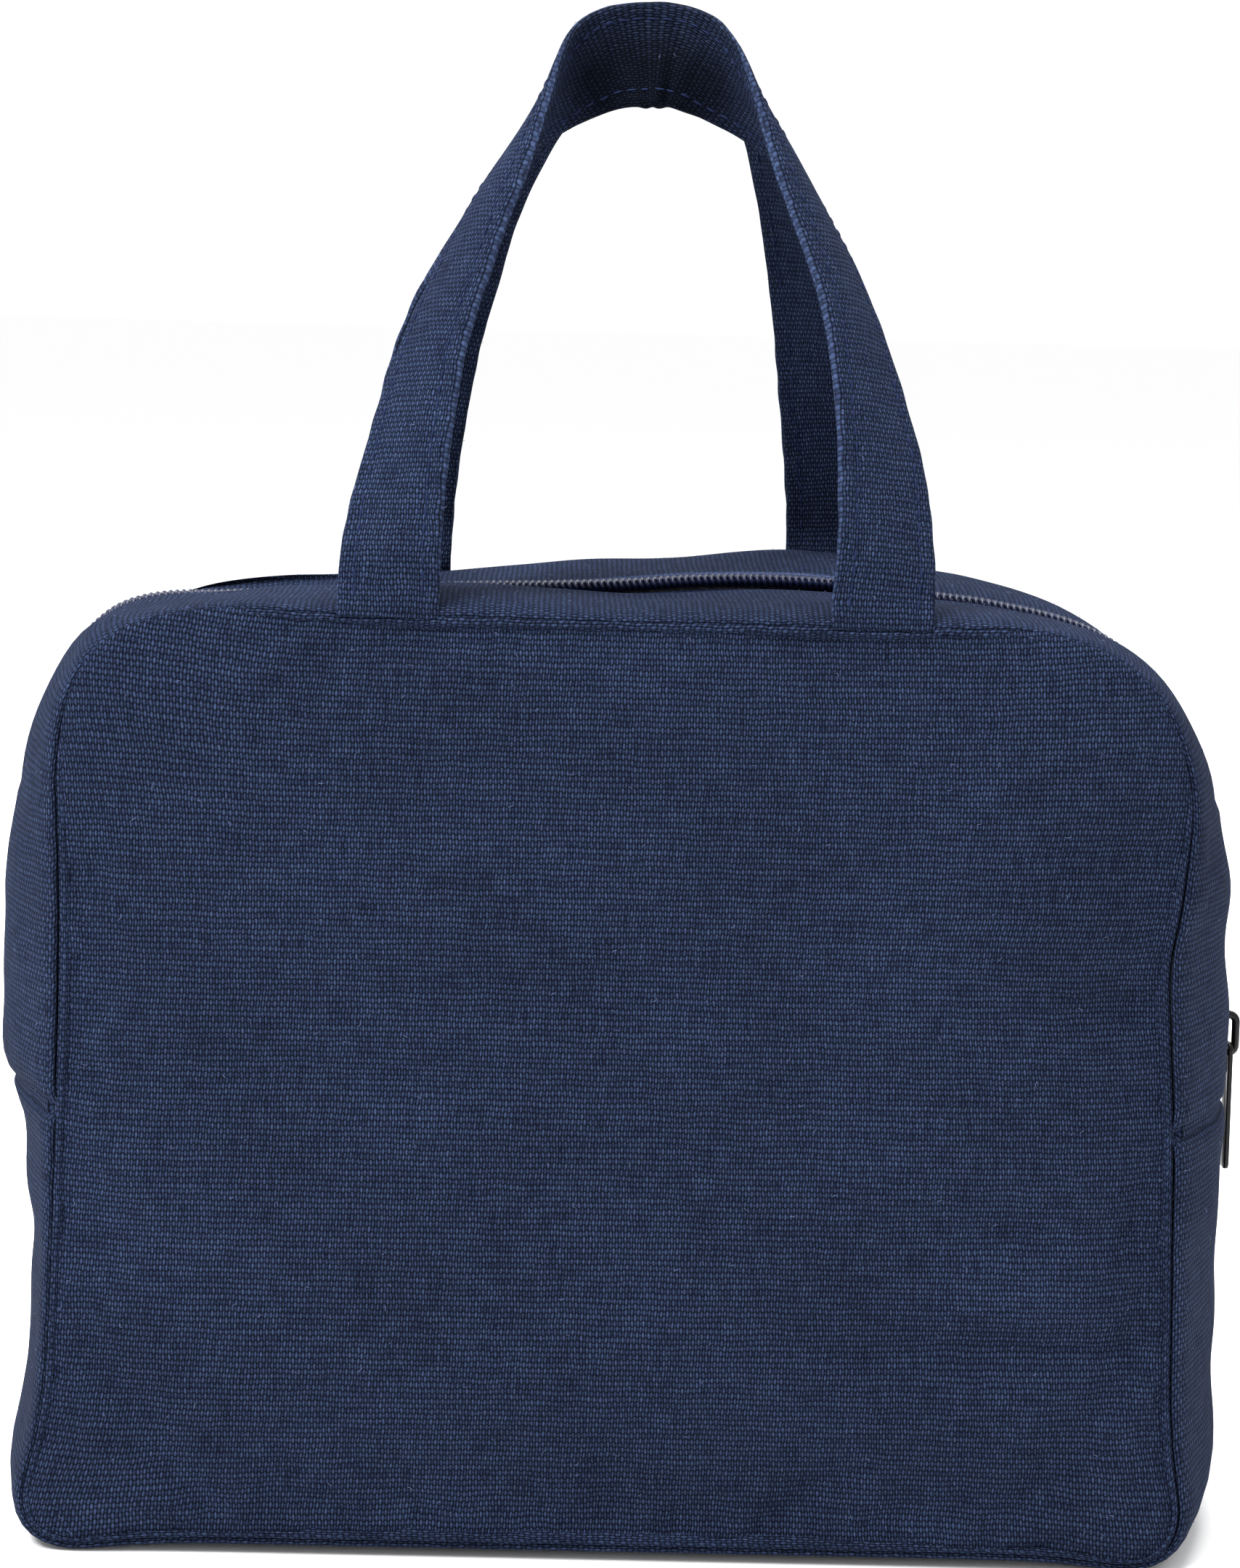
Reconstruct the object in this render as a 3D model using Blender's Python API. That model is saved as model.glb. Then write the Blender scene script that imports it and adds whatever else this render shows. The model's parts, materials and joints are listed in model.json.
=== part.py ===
"""Soft insulated lunch bag: canvas shell, foam and lining, wrap-round zip, two strap handles.

Metres, +Z up. The origin is on the floor under the middle of the bag. The front faces -Y, and the
zip's slider is at its closed end, low on the +X side. Every layer is its own solid, 0.3 mm clear of
the next. The two walls fold outwards along a line level with the zip's ends, so each is made as a
lower half that stands still and an upper half that swings.
"""

import math

import bmesh
import bpy
from mathutils import Vector

MM = 0.001

# Driving dimensions, in millimetres
PANEL_HALF_WIDTH = 105.0
PANEL_BOTTOM = 2.5
PANEL_TOP = 177.5
TOP_CORNER_RADIUS = 38.0
BOTTOM_CORNER_RADIUS = 13.0
HALF_DEPTH = 50.0
FOLD_HEIGHT = 83.0  # level of the zip's ends, where the walls fold

SIDE_BULGE = 17.0  # how far the side gusset swells past the seams
TOP_BULGE = 3.0
BOTTOM_BULGE = PANEL_BOTTOM  # the base comes down to the floor
SIDE_FULLNESS = 1.15
BASE_FULLNESS = 2.25  # the base is flat nearly to its seams
TOP_CORNER_POWER = 2  # how soon the side bulge fades round a corner
BOTTOM_CORNER_POWER = 3  # keeps the lower corners off the floor

GAP = 0.3
CANVAS = 1.2
FOAM = 4.0
LINING = 0.8
TAPE = 0.6
BINDING = 2.5
BINDING_WIDTH = 3.0

STRIP_EDGE = 4.5  # half the slot between the two folded canvas edges
TAPE_EDGE = 1.2
TAPE_OUTER = 12.0
COIL_INNER = 1.0
COIL_OUTER = 3.2
COIL_PROUD = 0.7
LINING_EDGE = 9.0

STRAP_WIDTH = 19.2
STRAP_THICKNESS = 2.4
STRAP_HALF_SPREAD = 46.0
STRAP_LEAN = 22.0  # degrees that each handle leans in towards the other
STRAP_START = 2.6  # clear of the hinge line
HANDLE_HINGE_Y = HALF_DEPTH + 1.5
HANDLE_HINGE_Z = PANEL_TOP + 1.1
ARCH_POWER = 1.0 / 0.9  # below 1 the strap's arch is squarer than an ellipse, above 1 more pointed
FRONT_RISE = 116.0
REAR_RISE = 116.0
FRONT_DRIFT = 2.5  # how far the top of the arch lies to +X
REAR_DRIFT = 1.0
STRAP_STEPS = 44
STRAP_COLUMNS = 4

SLIDER_Z = 91.0
SLIDER_LENGTH = 12.0
SLIDER_WIDTH = 8.4
SLIDER_CORNER = 2.6
PLATE = 1.1
POST_LENGTH = 4.0
POST_WIDTH = 1.3
POST_DROP = 3.0  # from the slider's middle towards its lower end
CROWN_LENGTH = 8.6
CROWN_WIDTH = 2.0
CROWN_HEIGHT = 3.3
CROWN_WALL = 0.9
CROWN_SINK = 0.3  # its feet run this far into the plate
CROWN_STEPS = 10
CROWN_SQUARENESS = 0.6  # 1 is an ellipse, less is squarer
PULL_LENGTH = 26.0
PULL_WIDTH = 5.6
PULL_CORNER = 1.4
PULL_THICKNESS = 1.0
PULL_BAR_Z = SLIDER_Z - 2.3  # the bar hangs low in the crown
PULL_STANDOFF = 0.9  # bar's middle above the slider's top plate
WINDOW_LENGTH = 5.0
WINDOW_WIDTH = 3.0

# Depth below the canvas face at which each layer starts
FOAM_TOP = CANVAS + GAP
LINING_TOP = FOAM_TOP + FOAM + GAP
LINING_BOTTOM = LINING_TOP + LINING
TAPE_TOP = CANVAS + GAP
PANEL_INNER_INSET = LINING_BOTTOM + GAP

# Distances from the middle plane at which the gusset's layers bend, the last at the wall's canvas
GUSSET_EDGE = HALF_DEPTH - CANVAS - GAP
DEPTH_LINES = (18.0, 28.0, 37.0, 44.0, GUSSET_EDGE)

# Finishes: colour, roughness, metallic
FINISHES = {
    "canvas": ((0.024, 0.032, 0.068), 0.92, 0.0),
    "strap_canvas": ((0.030, 0.041, 0.085), 0.92, 0.0),
    "foam": ((0.82, 0.82, 0.80), 0.95, 0.0),
    "lining": ((0.62, 0.64, 0.66), 0.35, 0.6),
    "binding": ((0.015, 0.018, 0.030), 0.85, 0.0),
    "zip_tape": ((0.018, 0.024, 0.052), 0.85, 0.0),
    "zip_coil": ((0.026, 0.034, 0.070), 0.45, 0.0),
    "enamel": ((0.006, 0.006, 0.008), 0.25, 0.3),
}


def clear_scene():
    for item in list(bpy.data.objects):
        bpy.data.objects.remove(item, do_unlink=True)


def new_collection(name):
    found = bpy.data.collections.new(name)
    bpy.context.scene.collection.children.link(found)
    return found


def finish_material(name):
    found = bpy.data.materials.get(name)
    if found:
        return found
    colour, roughness, metallic = FINISHES[name]
    made = bpy.data.materials.new(name)
    made.use_nodes = True
    shader = made.node_tree.nodes["Principled BSDF"]
    shader.inputs["Base Color"].default_value = (*colour, 1.0)
    shader.inputs["Roughness"].default_value = roughness
    shader.inputs["Metallic"].default_value = metallic
    made.diffuse_color = (*colour, 1.0)
    return made


def hang(pieces, carrier):
    """Parents pieces to what carries them, and keeps their places."""
    for piece in pieces:
        piece.parent = carrier
        piece.location -= carrier.location


def add_object(name, bm, finish, collection, origin=(0.0, 0.0, 0.0)):
    """Makes the object, with its origin at a point in millimetres and its mesh about it."""
    place = Vector(origin) * MM
    for vert in bm.verts:
        vert.co = vert.co * MM - place
    bmesh.ops.recalc_face_normals(bm, faces=bm.faces)
    if bm.calc_volume(signed=True) < 0.0:
        bmesh.ops.reverse_faces(bm, faces=bm.faces)
    mesh = bpy.data.meshes.new(name)
    bm.to_mesh(mesh)
    bm.free()
    mesh.materials.append(finish_material(finish))
    made = bpy.data.objects.new(name, mesh)
    made.location = place
    collection.objects.link(made)
    return made


# ---- the rounded outline that the panels and gussets share


def arc(centre_x, centre_z, radius, first, last, steps):
    """Points and outward normals on an arc, angles in degrees from +X towards +Z."""
    found = []
    for step in range(steps + 1):
        angle = math.radians(first + (last - first) * step / steps)
        normal = (math.cos(angle), math.sin(angle))
        found.append(((centre_x + radius * normal[0], centre_z + radius * normal[1]), normal))
    return found


def straight(start, end, normal, steps):
    """Points strictly between two ends, all with one normal."""
    found = []
    for step in range(1, steps):
        share = step / steps
        x = start[0] + (end[0] - start[0]) * share
        z = start[1] + (end[1] - start[1]) * share
        found.append(((x, z), normal))
    return found


def upper_path(start_z):
    """From the +X side, over the top, to the -X side."""
    corner_x = PANEL_HALF_WIDTH - TOP_CORNER_RADIUS
    corner_z = PANEL_TOP - TOP_CORNER_RADIUS
    path = [((PANEL_HALF_WIDTH, start_z), (1.0, 0.0))]
    path += straight((PANEL_HALF_WIDTH, start_z), (PANEL_HALF_WIDTH, corner_z), (1.0, 0.0), 3)
    path += arc(corner_x, corner_z, TOP_CORNER_RADIUS, 0.0, 90.0, 8)
    path += straight((corner_x, PANEL_TOP), (-corner_x, PANEL_TOP), (0.0, 1.0), 4)
    path += arc(-corner_x, corner_z, TOP_CORNER_RADIUS, 90.0, 180.0, 8)
    path += straight((-PANEL_HALF_WIDTH, corner_z), (-PANEL_HALF_WIDTH, start_z), (-1.0, 0.0), 3)
    path.append(((-PANEL_HALF_WIDTH, start_z), (-1.0, 0.0)))
    return path


def lower_path(start_z):
    """From the -X side, under the base, to the +X side."""
    corner_x = PANEL_HALF_WIDTH - BOTTOM_CORNER_RADIUS
    corner_z = PANEL_BOTTOM + BOTTOM_CORNER_RADIUS
    path = [((-PANEL_HALF_WIDTH, start_z), (-1.0, 0.0))]
    path += straight((-PANEL_HALF_WIDTH, start_z), (-PANEL_HALF_WIDTH, corner_z), (-1.0, 0.0), 3)
    path += arc(-corner_x, corner_z, BOTTOM_CORNER_RADIUS, 180.0, 270.0, 6)
    path += straight((-corner_x, PANEL_BOTTOM), (corner_x, PANEL_BOTTOM), (0.0, -1.0), 3)
    path += arc(corner_x, corner_z, BOTTOM_CORNER_RADIUS, 270.0, 360.0, 6)
    path += straight((PANEL_HALF_WIDTH, corner_z), (PANEL_HALF_WIDTH, start_z), (1.0, 0.0), 3)
    path.append(((PANEL_HALF_WIDTH, start_z), (1.0, 0.0)))
    return path


def swell(fullness, y):
    return min(1.0, fullness * (1.0 - (y / HALF_DEPTH) ** 2))


def bulge(normal, y):
    """How far the gusset's face stands outside the seam outline, at this depth across the bag.

    It runs straight between the same depth lines in every layer, so the layers stay parallel.
    """
    level = TOP_BULGE if normal[1] > 0.0 else BOTTOM_BULGE
    power = TOP_CORNER_POWER if normal[1] > 0.0 else BOTTOM_CORNER_POWER
    height = level + (SIDE_BULGE - level) * abs(normal[0]) ** power
    downward = max(0.0, -normal[1])
    fullness = SIDE_FULLNESS + (BASE_FULLNESS - SIDE_FULLNESS) * downward**2
    y = abs(y)
    if y <= DEPTH_LINES[0]:
        return height * swell(fullness, DEPTH_LINES[0])
    for near, far in zip(DEPTH_LINES, DEPTH_LINES[1:]):
        if y <= far + 1e-6:
            share = (y - near) / (far - near)
            return height * (swell(fullness, near) * (1.0 - share) + swell(fullness, far) * share)
    return 0.0


# ---- solids made from a flat grid that is extruded once and then bent into place


def slab(columns, rows, place):
    """A closed sheet of columns x rows cells. place(i, j, outer) gives each corner in millimetres."""
    bm = bmesh.new()
    bmesh.ops.create_grid(bm, x_segments=columns, y_segments=rows, size=1.0)
    extruded = bmesh.ops.extrude_face_region(bm, geom=list(bm.faces))
    for item in extruded["geom"]:
        if isinstance(item, bmesh.types.BMVert):
            item.co.z = -1.0
    for vert in bm.verts:
        i = round((vert.co.x + 1.0) / 2.0 * columns)
        j = round((vert.co.y + 1.0) / 2.0 * rows)
        vert.co = Vector(place(i, j, vert.co.z > -0.5))
    return bm


def gusset_band(name, path, depths, top, bottom, finish, collection):
    """A layer of gusset along a path: depths are its Y lines, top and bottom its faces' depths."""

    def place(i, j, outer):
        (x, z), normal = path[i]
        y = depths[j]
        out = bulge(normal, y) - (top if outer else bottom)
        return (x + normal[0] * out, y, z + normal[1] * out)

    bm = slab(len(path) - 1, len(depths) - 1, place)
    return add_object(name, bm, finish, collection)


def depth_lines(inner, outer, sign):
    """Y lines of a gusset layer from its edge by the zip out to its edge by the panel."""
    lines = [inner] + [line for line in DEPTH_LINES if inner < line < outer] + [outer]
    return [sign * line for line in lines]


def panel_outline(inset, upper):
    """The panel's outline moved in by an amount, as its part above or below the fold."""
    level = FOLD_HEIGHT + GAP / 2.0 if upper else FOLD_HEIGHT - GAP / 2.0
    path = upper_path(level) if upper else lower_path(level)
    found = []
    for (x, z), normal in path:
        found.append((x - normal[0] * inset, z - normal[1] * inset))
    return found


def panel_plate(name, inset, face, thickness, upper, sign, finish, collection):
    """A flat layer of a wall: face is its outer side's distance from the bag's middle plane."""
    bm = bmesh.new()
    corners = []
    for x, z in panel_outline(inset, upper):
        corners.append(bm.verts.new((x, sign * face, z)))
    bm.faces.new(corners)
    extruded = bmesh.ops.extrude_face_region(bm, geom=list(bm.faces))
    for item in extruded["geom"]:
        if isinstance(item, bmesh.types.BMVert):
            item.co.y = sign * (face - thickness)
    return add_object(name, bm, finish, collection)


# ---- the body


def make_lower_gusset(collection):
    path = lower_path(FOLD_HEIGHT - GAP / 2.0)
    lines = [-line for line in reversed(DEPTH_LINES)] + list(DEPTH_LINES)
    gusset_band("lower_gusset", path, lines, 0.0, CANVAS, "canvas", collection)
    gusset_band("lower_gusset_foam", path, lines, FOAM_TOP, FOAM_TOP + FOAM, "foam", collection)
    gusset_band("lower_gusset_lining", path, lines, LINING_TOP, LINING_BOTTOM, "lining", collection)


def make_wall(side, sign, collection):
    """Both halves of a wall's three layers."""
    foam_face = GUSSET_EDGE
    lining_face = foam_face - FOAM - GAP
    for half in ("lower", "upper"):
        upper = half == "upper"
        panel_plate(f"{side}_panel_{half}", 0.0, HALF_DEPTH, CANVAS, upper, sign, "canvas", collection)
        panel_plate(
            f"{side}_foam_{half}", PANEL_INNER_INSET, foam_face, FOAM, upper, sign, "foam", collection
        )
        panel_plate(
            f"{side}_lining_{half}", PANEL_INNER_INSET, lining_face, LINING, upper, sign, "lining", collection
        )


def make_bindings(side, sign, collection):
    """The tape that binds the seam inside, in the corner between wall and gusset."""
    outer = HALF_DEPTH - CANVAS - FOAM - LINING - 3.0 * GAP
    lines = [sign * outer, sign * (outer - BINDING_WIDTH)]
    top = LINING_BOTTOM + GAP
    lower = lower_path(FOLD_HEIGHT - GAP / 2.0)
    upper = upper_path(FOLD_HEIGHT + GAP / 2.0)
    gusset_band(f"{side}_binding_lower", lower, lines, top, top + BINDING, "binding", collection)
    gusset_band(f"{side}_binding_upper", upper, lines, top, top + BINDING, "binding", collection)


def make_zip_strip(side, sign, collection):
    """The canvas strip, its foam and lining, and its half of the zip, from end to end."""
    path = upper_path(FOLD_HEIGHT + GAP / 2.0)
    canvas_lines = depth_lines(STRIP_EDGE, GUSSET_EDGE, sign)
    foam_lines = depth_lines(TAPE_OUTER + GAP, GUSSET_EDGE, sign)
    lining_lines = depth_lines(LINING_EDGE, GUSSET_EDGE, sign)
    tape_lines = [sign * TAPE_EDGE, sign * TAPE_OUTER]
    coil_lines = [sign * COIL_INNER, sign * COIL_OUTER]
    gusset_band(f"{side}_zip_strip", path, canvas_lines, 0.0, CANVAS, "canvas", collection)
    gusset_band(f"{side}_strip_foam", path, foam_lines, FOAM_TOP, FOAM_TOP + FOAM, "foam", collection)
    gusset_band(f"{side}_strip_lining", path, lining_lines, LINING_TOP, LINING_BOTTOM, "lining", collection)
    gusset_band(f"{side}_zip_tape", path, tape_lines, TAPE_TOP, TAPE_TOP + TAPE, "zip_tape", collection)
    gusset_band(f"{side}_zip_coil", path, coil_lines, -COIL_PROUD, CANVAS, "zip_coil", collection)


# ---- the handles


def between(stations, share):
    """Reads a list of (share, value) stations, straight from one to the next."""
    for (low, first), (high, last) in zip(stations, stations[1:]):
        if share <= high:
            return first + (last - first) * (share - low) / (high - low)
    return stations[-1][1]


# Turn of the strap about its own length, in degrees, and its curl in millimetres, from foot to top
FRONT_TURN = [(0.0, 0.0), (0.2, 30.0), (0.4, 51.0), (0.65, 74.0), (0.8, 108.0), (0.92, 146.0), (1.0, 156.0)]
REAR_TURN = [(0.0, 0.0), (0.3, 10.0), (0.5, 36.0), (0.65, 54.0), (0.8, 70.0), (0.92, 84.0), (1.0, 90.0)]
STRAP_CURL = [(0.0, 0.0), (0.35, 1.0), (0.65, 2.2), (0.85, 1.6), (1.0, 1.0)]


def strap_centre(angle, rise, drift):
    """Centre line in the handle's own leaning plane: across, and up from the hinge line."""
    up = STRAP_START + (rise - STRAP_START) * math.sin(angle) ** ARCH_POWER
    across = STRAP_HALF_SPREAD * math.cos(angle) + drift * (up / rise) ** 2
    return across, up


def make_handle(name, sign, rise, turn, drift, collection):
    """A flat strap from foot to foot. sign is -1 at the front and +1 at the rear."""
    lean = math.radians(STRAP_LEAN)
    up_dir = Vector((0.0, -sign * math.sin(lean), math.cos(lean)))
    out_dir = Vector((0.0, sign * math.cos(lean), math.sin(lean)))
    foot = Vector((0.0, sign * HANDLE_HINGE_Y, HANDLE_HINGE_Z))

    def centre(step):
        across, up = strap_centre(math.pi * step / STRAP_STEPS, rise, drift)
        return foot + Vector((across, 0.0, 0.0)) + up_dir * up

    def place(i, j, outer):
        before = centre(max(i - 1, 0))
        after = centre(min(i + 1, STRAP_STEPS))
        along = (after - before).normalized()
        share = 1.0 - abs(2.0 * i / STRAP_STEPS - 1.0)
        inward = along.cross(out_dir).normalized() * sign  # towards the hole in the loop
        tilt = math.radians(between(turn, share))
        across_dir = inward * math.cos(tilt) + out_dir * math.sin(tilt)
        face_dir = out_dir * math.cos(tilt) - inward * math.sin(tilt)
        w = 2.0 * j / STRAP_COLUMNS - 1.0  # -1 and +1 at the strap's edges
        curl = between(STRAP_CURL, share) * (0.5 - w * w)
        half = STRAP_THICKNESS / 2.0
        lift = curl + (half if outer else -half)
        return centre(i) + across_dir * (w * STRAP_WIDTH / 2.0) + face_dir * lift

    bm = slab(STRAP_STEPS, STRAP_COLUMNS, place)
    return add_object(name, bm, "strap_canvas", collection, origin=tuple(foot))


# ---- the slider and its pull


def box(size, centre):
    bm = bmesh.new()
    bmesh.ops.create_cube(bm, size=1.0)
    bmesh.ops.scale(bm, vec=size, verts=bm.verts)
    bmesh.ops.translate(bm, vec=centre, verts=bm.verts)
    return bm


def boolean(target, tool, operation):
    step = target.modifiers.new(f"{operation.lower()} {tool.name}", "BOOLEAN")
    step.operation = operation
    step.solver = "EXACT"
    step.object = tool


def as_tool(name, bm, cutters):
    tool = add_object(name, bm, "enamel", cutters)
    tool.hide_render = True
    tool.display_type = "WIRE"
    return tool


def rounded_plate(length, width, thickness, centre, corner):
    """A plate in the Y-Z plane with its four corners rounded."""
    bm = box((thickness, width, length), centre)
    edges = [
        edge
        for edge in bm.edges
        if abs(edge.verts[0].co.y - edge.verts[1].co.y) < 1e-6
        and abs(edge.verts[0].co.z - edge.verts[1].co.z) < 1e-6
    ]
    bmesh.ops.bevel(bm, geom=edges, offset=corner, segments=4, profile=0.5, affect="EDGES")
    return bm


def slider_places():
    """X of the top plate's middle, the bottom plate's middle and the pull's bar."""
    face = PANEL_HALF_WIDTH + SIDE_BULGE
    top = face + COIL_PROUD + GAP + PLATE / 2.0
    bottom = face - TAPE_TOP - TAPE - GAP - PLATE / 2.0
    bar = top + PLATE / 2.0 + PULL_STANDOFF
    return top, bottom, bar


def make_slider(collection, cutters):
    """Two plates, the post between them and the arched crown that holds the pull."""
    top, bottom, _ = slider_places()
    origin = (top, 0.0, SLIDER_Z)
    plate = rounded_plate(SLIDER_LENGTH, SLIDER_WIDTH, PLATE, origin, SLIDER_CORNER)
    slider = add_object("slider_body", plate, "enamel", collection, origin=origin)
    under = rounded_plate(SLIDER_LENGTH, SLIDER_WIDTH, PLATE, (bottom, 0.0, SLIDER_Z), SLIDER_CORNER)
    post_middle = ((top + bottom) / 2.0, 0.0, SLIDER_Z - POST_DROP)
    post = box((top - bottom, POST_WIDTH, POST_LENGTH), post_middle)
    arch = crown_arch(top + PLATE / 2.0 - CROWN_SINK)
    for name, bm in (("under_plate", under), ("post", post), ("crown", arch)):
        boolean(slider, as_tool(name, bm, cutters), "UNION")
    return slider


def crown_arch(base_x):
    """A squarish arch standing on the top plate. The pull's bar passes under it."""

    def place(i, j, outer):
        angle = math.pi * i / CROWN_STEPS
        shrink = 0.0 if outer else CROWN_WALL
        rise = 0.0 if i in (0, CROWN_STEPS) else math.sin(angle) ** CROWN_SQUARENESS
        run = math.copysign(abs(math.cos(angle)) ** CROWN_SQUARENESS, math.cos(angle))
        x = base_x + (CROWN_HEIGHT - shrink) * rise
        z = SLIDER_Z + (CROWN_LENGTH / 2.0 - shrink) * run
        return (x, CROWN_WIDTH * (j - 0.5), z)

    return slab(CROWN_STEPS, 1, place)


def make_pull(collection, cutters):
    """A long plain tab with a window at its head. The window's top bar passes under the crown."""
    _, _, bar = slider_places()
    origin = (bar, 0.0, PULL_BAR_Z)
    middle = PULL_BAR_Z + PULL_THICKNESS / 2.0 - PULL_LENGTH / 2.0
    tab = rounded_plate(PULL_LENGTH, PULL_WIDTH, PULL_THICKNESS, (bar, 0.0, middle), PULL_CORNER)
    pull = add_object("pull_tab", tab, "enamel", collection, origin=origin)
    window_z = PULL_BAR_Z - PULL_THICKNESS / 2.0 - WINDOW_LENGTH / 2.0
    window = box((PULL_THICKNESS * 3.0, WINDOW_WIDTH, WINDOW_LENGTH), (bar, 0.0, window_z))
    boolean(pull, as_tool("window", window, cutters), "DIFFERENCE")
    return pull


def add_fold_axis(side, sign, collection):
    """An empty on the line about which the wall's upper half folds out."""
    axis = bpy.data.objects.new(f"{side}_fold_axis", None)
    axis.location = Vector((0.0, sign * HALF_DEPTH, FOLD_HEIGHT)) * MM
    collection.objects.link(axis)
    return axis


def main():
    clear_scene()
    parts = new_collection("lunch_bag")
    cutters = new_collection("cutters")
    make_lower_gusset(parts)
    for side, sign in (("front", -1.0), ("rear", 1.0)):
        make_wall(side, sign, parts)
        make_bindings(side, sign, parts)
        make_zip_strip(side, sign, parts)
    make_handle("front_handle", -1.0, FRONT_RISE, FRONT_TURN, FRONT_DRIFT, parts)
    make_handle("rear_handle", 1.0, REAR_RISE, REAR_TURN, REAR_DRIFT, parts)
    slider = make_slider(parts, cutters)
    pull = make_pull(parts, cutters)
    hang([pull], slider)
    for side, sign in (("front", -1.0), ("rear", 1.0)):
        wall = [piece for piece in parts.objects if piece.name.startswith(side)]
        above_fold = [piece for piece in wall if not piece.name.endswith("_lower")]
        hang(above_fold, add_fold_axis(side, sign, parts))


main()
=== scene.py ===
# Soft insulated canvas lunch bag: canvas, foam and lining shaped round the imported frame,
# with a coil zip, an enamelled slider and two folded strap handles.
import json
import math

import bmesh
import bpy
import numpy as np
from mathutils import Matrix, Vector


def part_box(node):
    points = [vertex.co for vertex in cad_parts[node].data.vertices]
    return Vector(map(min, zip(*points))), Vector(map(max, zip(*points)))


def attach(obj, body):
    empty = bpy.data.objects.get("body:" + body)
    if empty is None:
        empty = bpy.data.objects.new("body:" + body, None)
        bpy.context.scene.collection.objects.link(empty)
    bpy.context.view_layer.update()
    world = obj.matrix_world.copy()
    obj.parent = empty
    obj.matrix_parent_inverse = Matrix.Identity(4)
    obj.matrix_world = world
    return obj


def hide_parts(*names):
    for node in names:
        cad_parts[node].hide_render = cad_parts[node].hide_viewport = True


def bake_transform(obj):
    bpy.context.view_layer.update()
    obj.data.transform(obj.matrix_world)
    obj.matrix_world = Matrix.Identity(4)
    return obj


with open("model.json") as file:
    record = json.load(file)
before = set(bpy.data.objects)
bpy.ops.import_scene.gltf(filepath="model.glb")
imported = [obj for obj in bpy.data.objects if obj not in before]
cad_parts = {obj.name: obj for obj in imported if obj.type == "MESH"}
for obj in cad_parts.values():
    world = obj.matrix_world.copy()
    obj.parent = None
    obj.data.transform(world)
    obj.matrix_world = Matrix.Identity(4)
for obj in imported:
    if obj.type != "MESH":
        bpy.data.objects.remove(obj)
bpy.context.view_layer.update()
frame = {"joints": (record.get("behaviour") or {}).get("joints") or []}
mm = 0.001
scene = bpy.context.scene
scene.view_settings.view_transform = "Standard"

# the seam outline of the walls, read from the frame
panelLow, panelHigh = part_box("front_panel_upper")
shell = {
    "halfWidth": panelHigh.x,
    "top": panelHigh.z,
    "bottom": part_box("front_panel_lower")[0].z,
    "halfDepth": -panelLow.y,
    "crossSeam": panelLow.z,
    "topRadius": 38 * mm,
    "bottomRadius": 13 * mm,
}

# layers of the soft walls, as depths under the canvas face
layers = {
    "canvas": (0.0, 1.1 * mm),
    "foam": (1.4 * mm, 5.4 * mm),
    "lining": (5.7 * mm, 6.2 * mm),
    "tape": (1.5 * mm, 2.1 * mm),
}

# how the soft body has settled: it leans out towards its base, and its seam outline has moved out
# by a few mm, given at heights up each side
settling = {
    "lean": 10.4 * mm,
    "rearSag": 2.6 * mm,
    "height": (0, 10, 22, 32, 51, 64, 88, 100, 118, 123, 133, 143, 154, 180),
    "right": (1.5, 0.9, 0.7, 0.4, 0.1, -0.2, -0.8, -1.6, -1.8, -0.8, 0.3, 0.9, 0.6, 0),
    "left": (3.6, 3.2, 2.6, 2.1, 1.7, 1.5, 1.2, 1.1, 1.3, 1.4, 1.5, 1.4, 1.2, 0),
    # corners that stand out further than their pattern: place, reach, how far out and how far up
    "corners": [
        (-96, 166, 22, 4.8, 4.2),
        (95, 166, 24, 2.2, 2.0),
        (-101, 6, 14, 4.2, -2.4),
        (101, 6, 14, 3.0, -2.4),
    ],
}


def ease(t):
    t = np.clip(t, 0.0, 1.0)
    return t * t * (3.0 - 2.0 * t)


def through(stations, values, x):
    # a smooth curve through a few stations
    stations = np.asarray(stations, float)
    values = np.asarray(values, float)
    slopes = np.gradient(values, stations)
    x = np.clip(x, stations[0], stations[-1])
    k = np.clip(np.searchsorted(stations, x, side="right") - 1, 0, len(stations) - 2)
    width = stations[k + 1] - stations[k]
    t = (x - stations[k]) / width
    first = values[k] * (1 + 2 * t) * (1 - t) ** 2 + values[k + 1] * t * t * (3 - 2 * t)
    return first + width * (slopes[k] * t * (1 - t) ** 2 - slopes[k + 1] * t * t * (1 - t))


def lip(distance, radius):
    # how far a folded edge falls away from its face, at a distance in from the edge
    inside = np.clip(distance, 0.0, radius)
    return radius - np.sqrt(np.maximum(radius**2 - (radius - inside) ** 2, 0.0))


def ripples(a, b, seed, length, count=14):
    # slow, soft unevenness made of a few waves about one length
    draw = np.random.default_rng(seed)
    total = 0.0
    for _ in range(count):
        angle = draw.uniform(0.0, math.tau)
        wave = math.tau / (length * draw.uniform(0.6, 1.6))
        distance = a * math.cos(angle) + b * math.sin(angle)
        total = total + np.sin(wave * distance + draw.uniform(0.0, math.tau))
    return total / math.sqrt(count)


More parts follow.
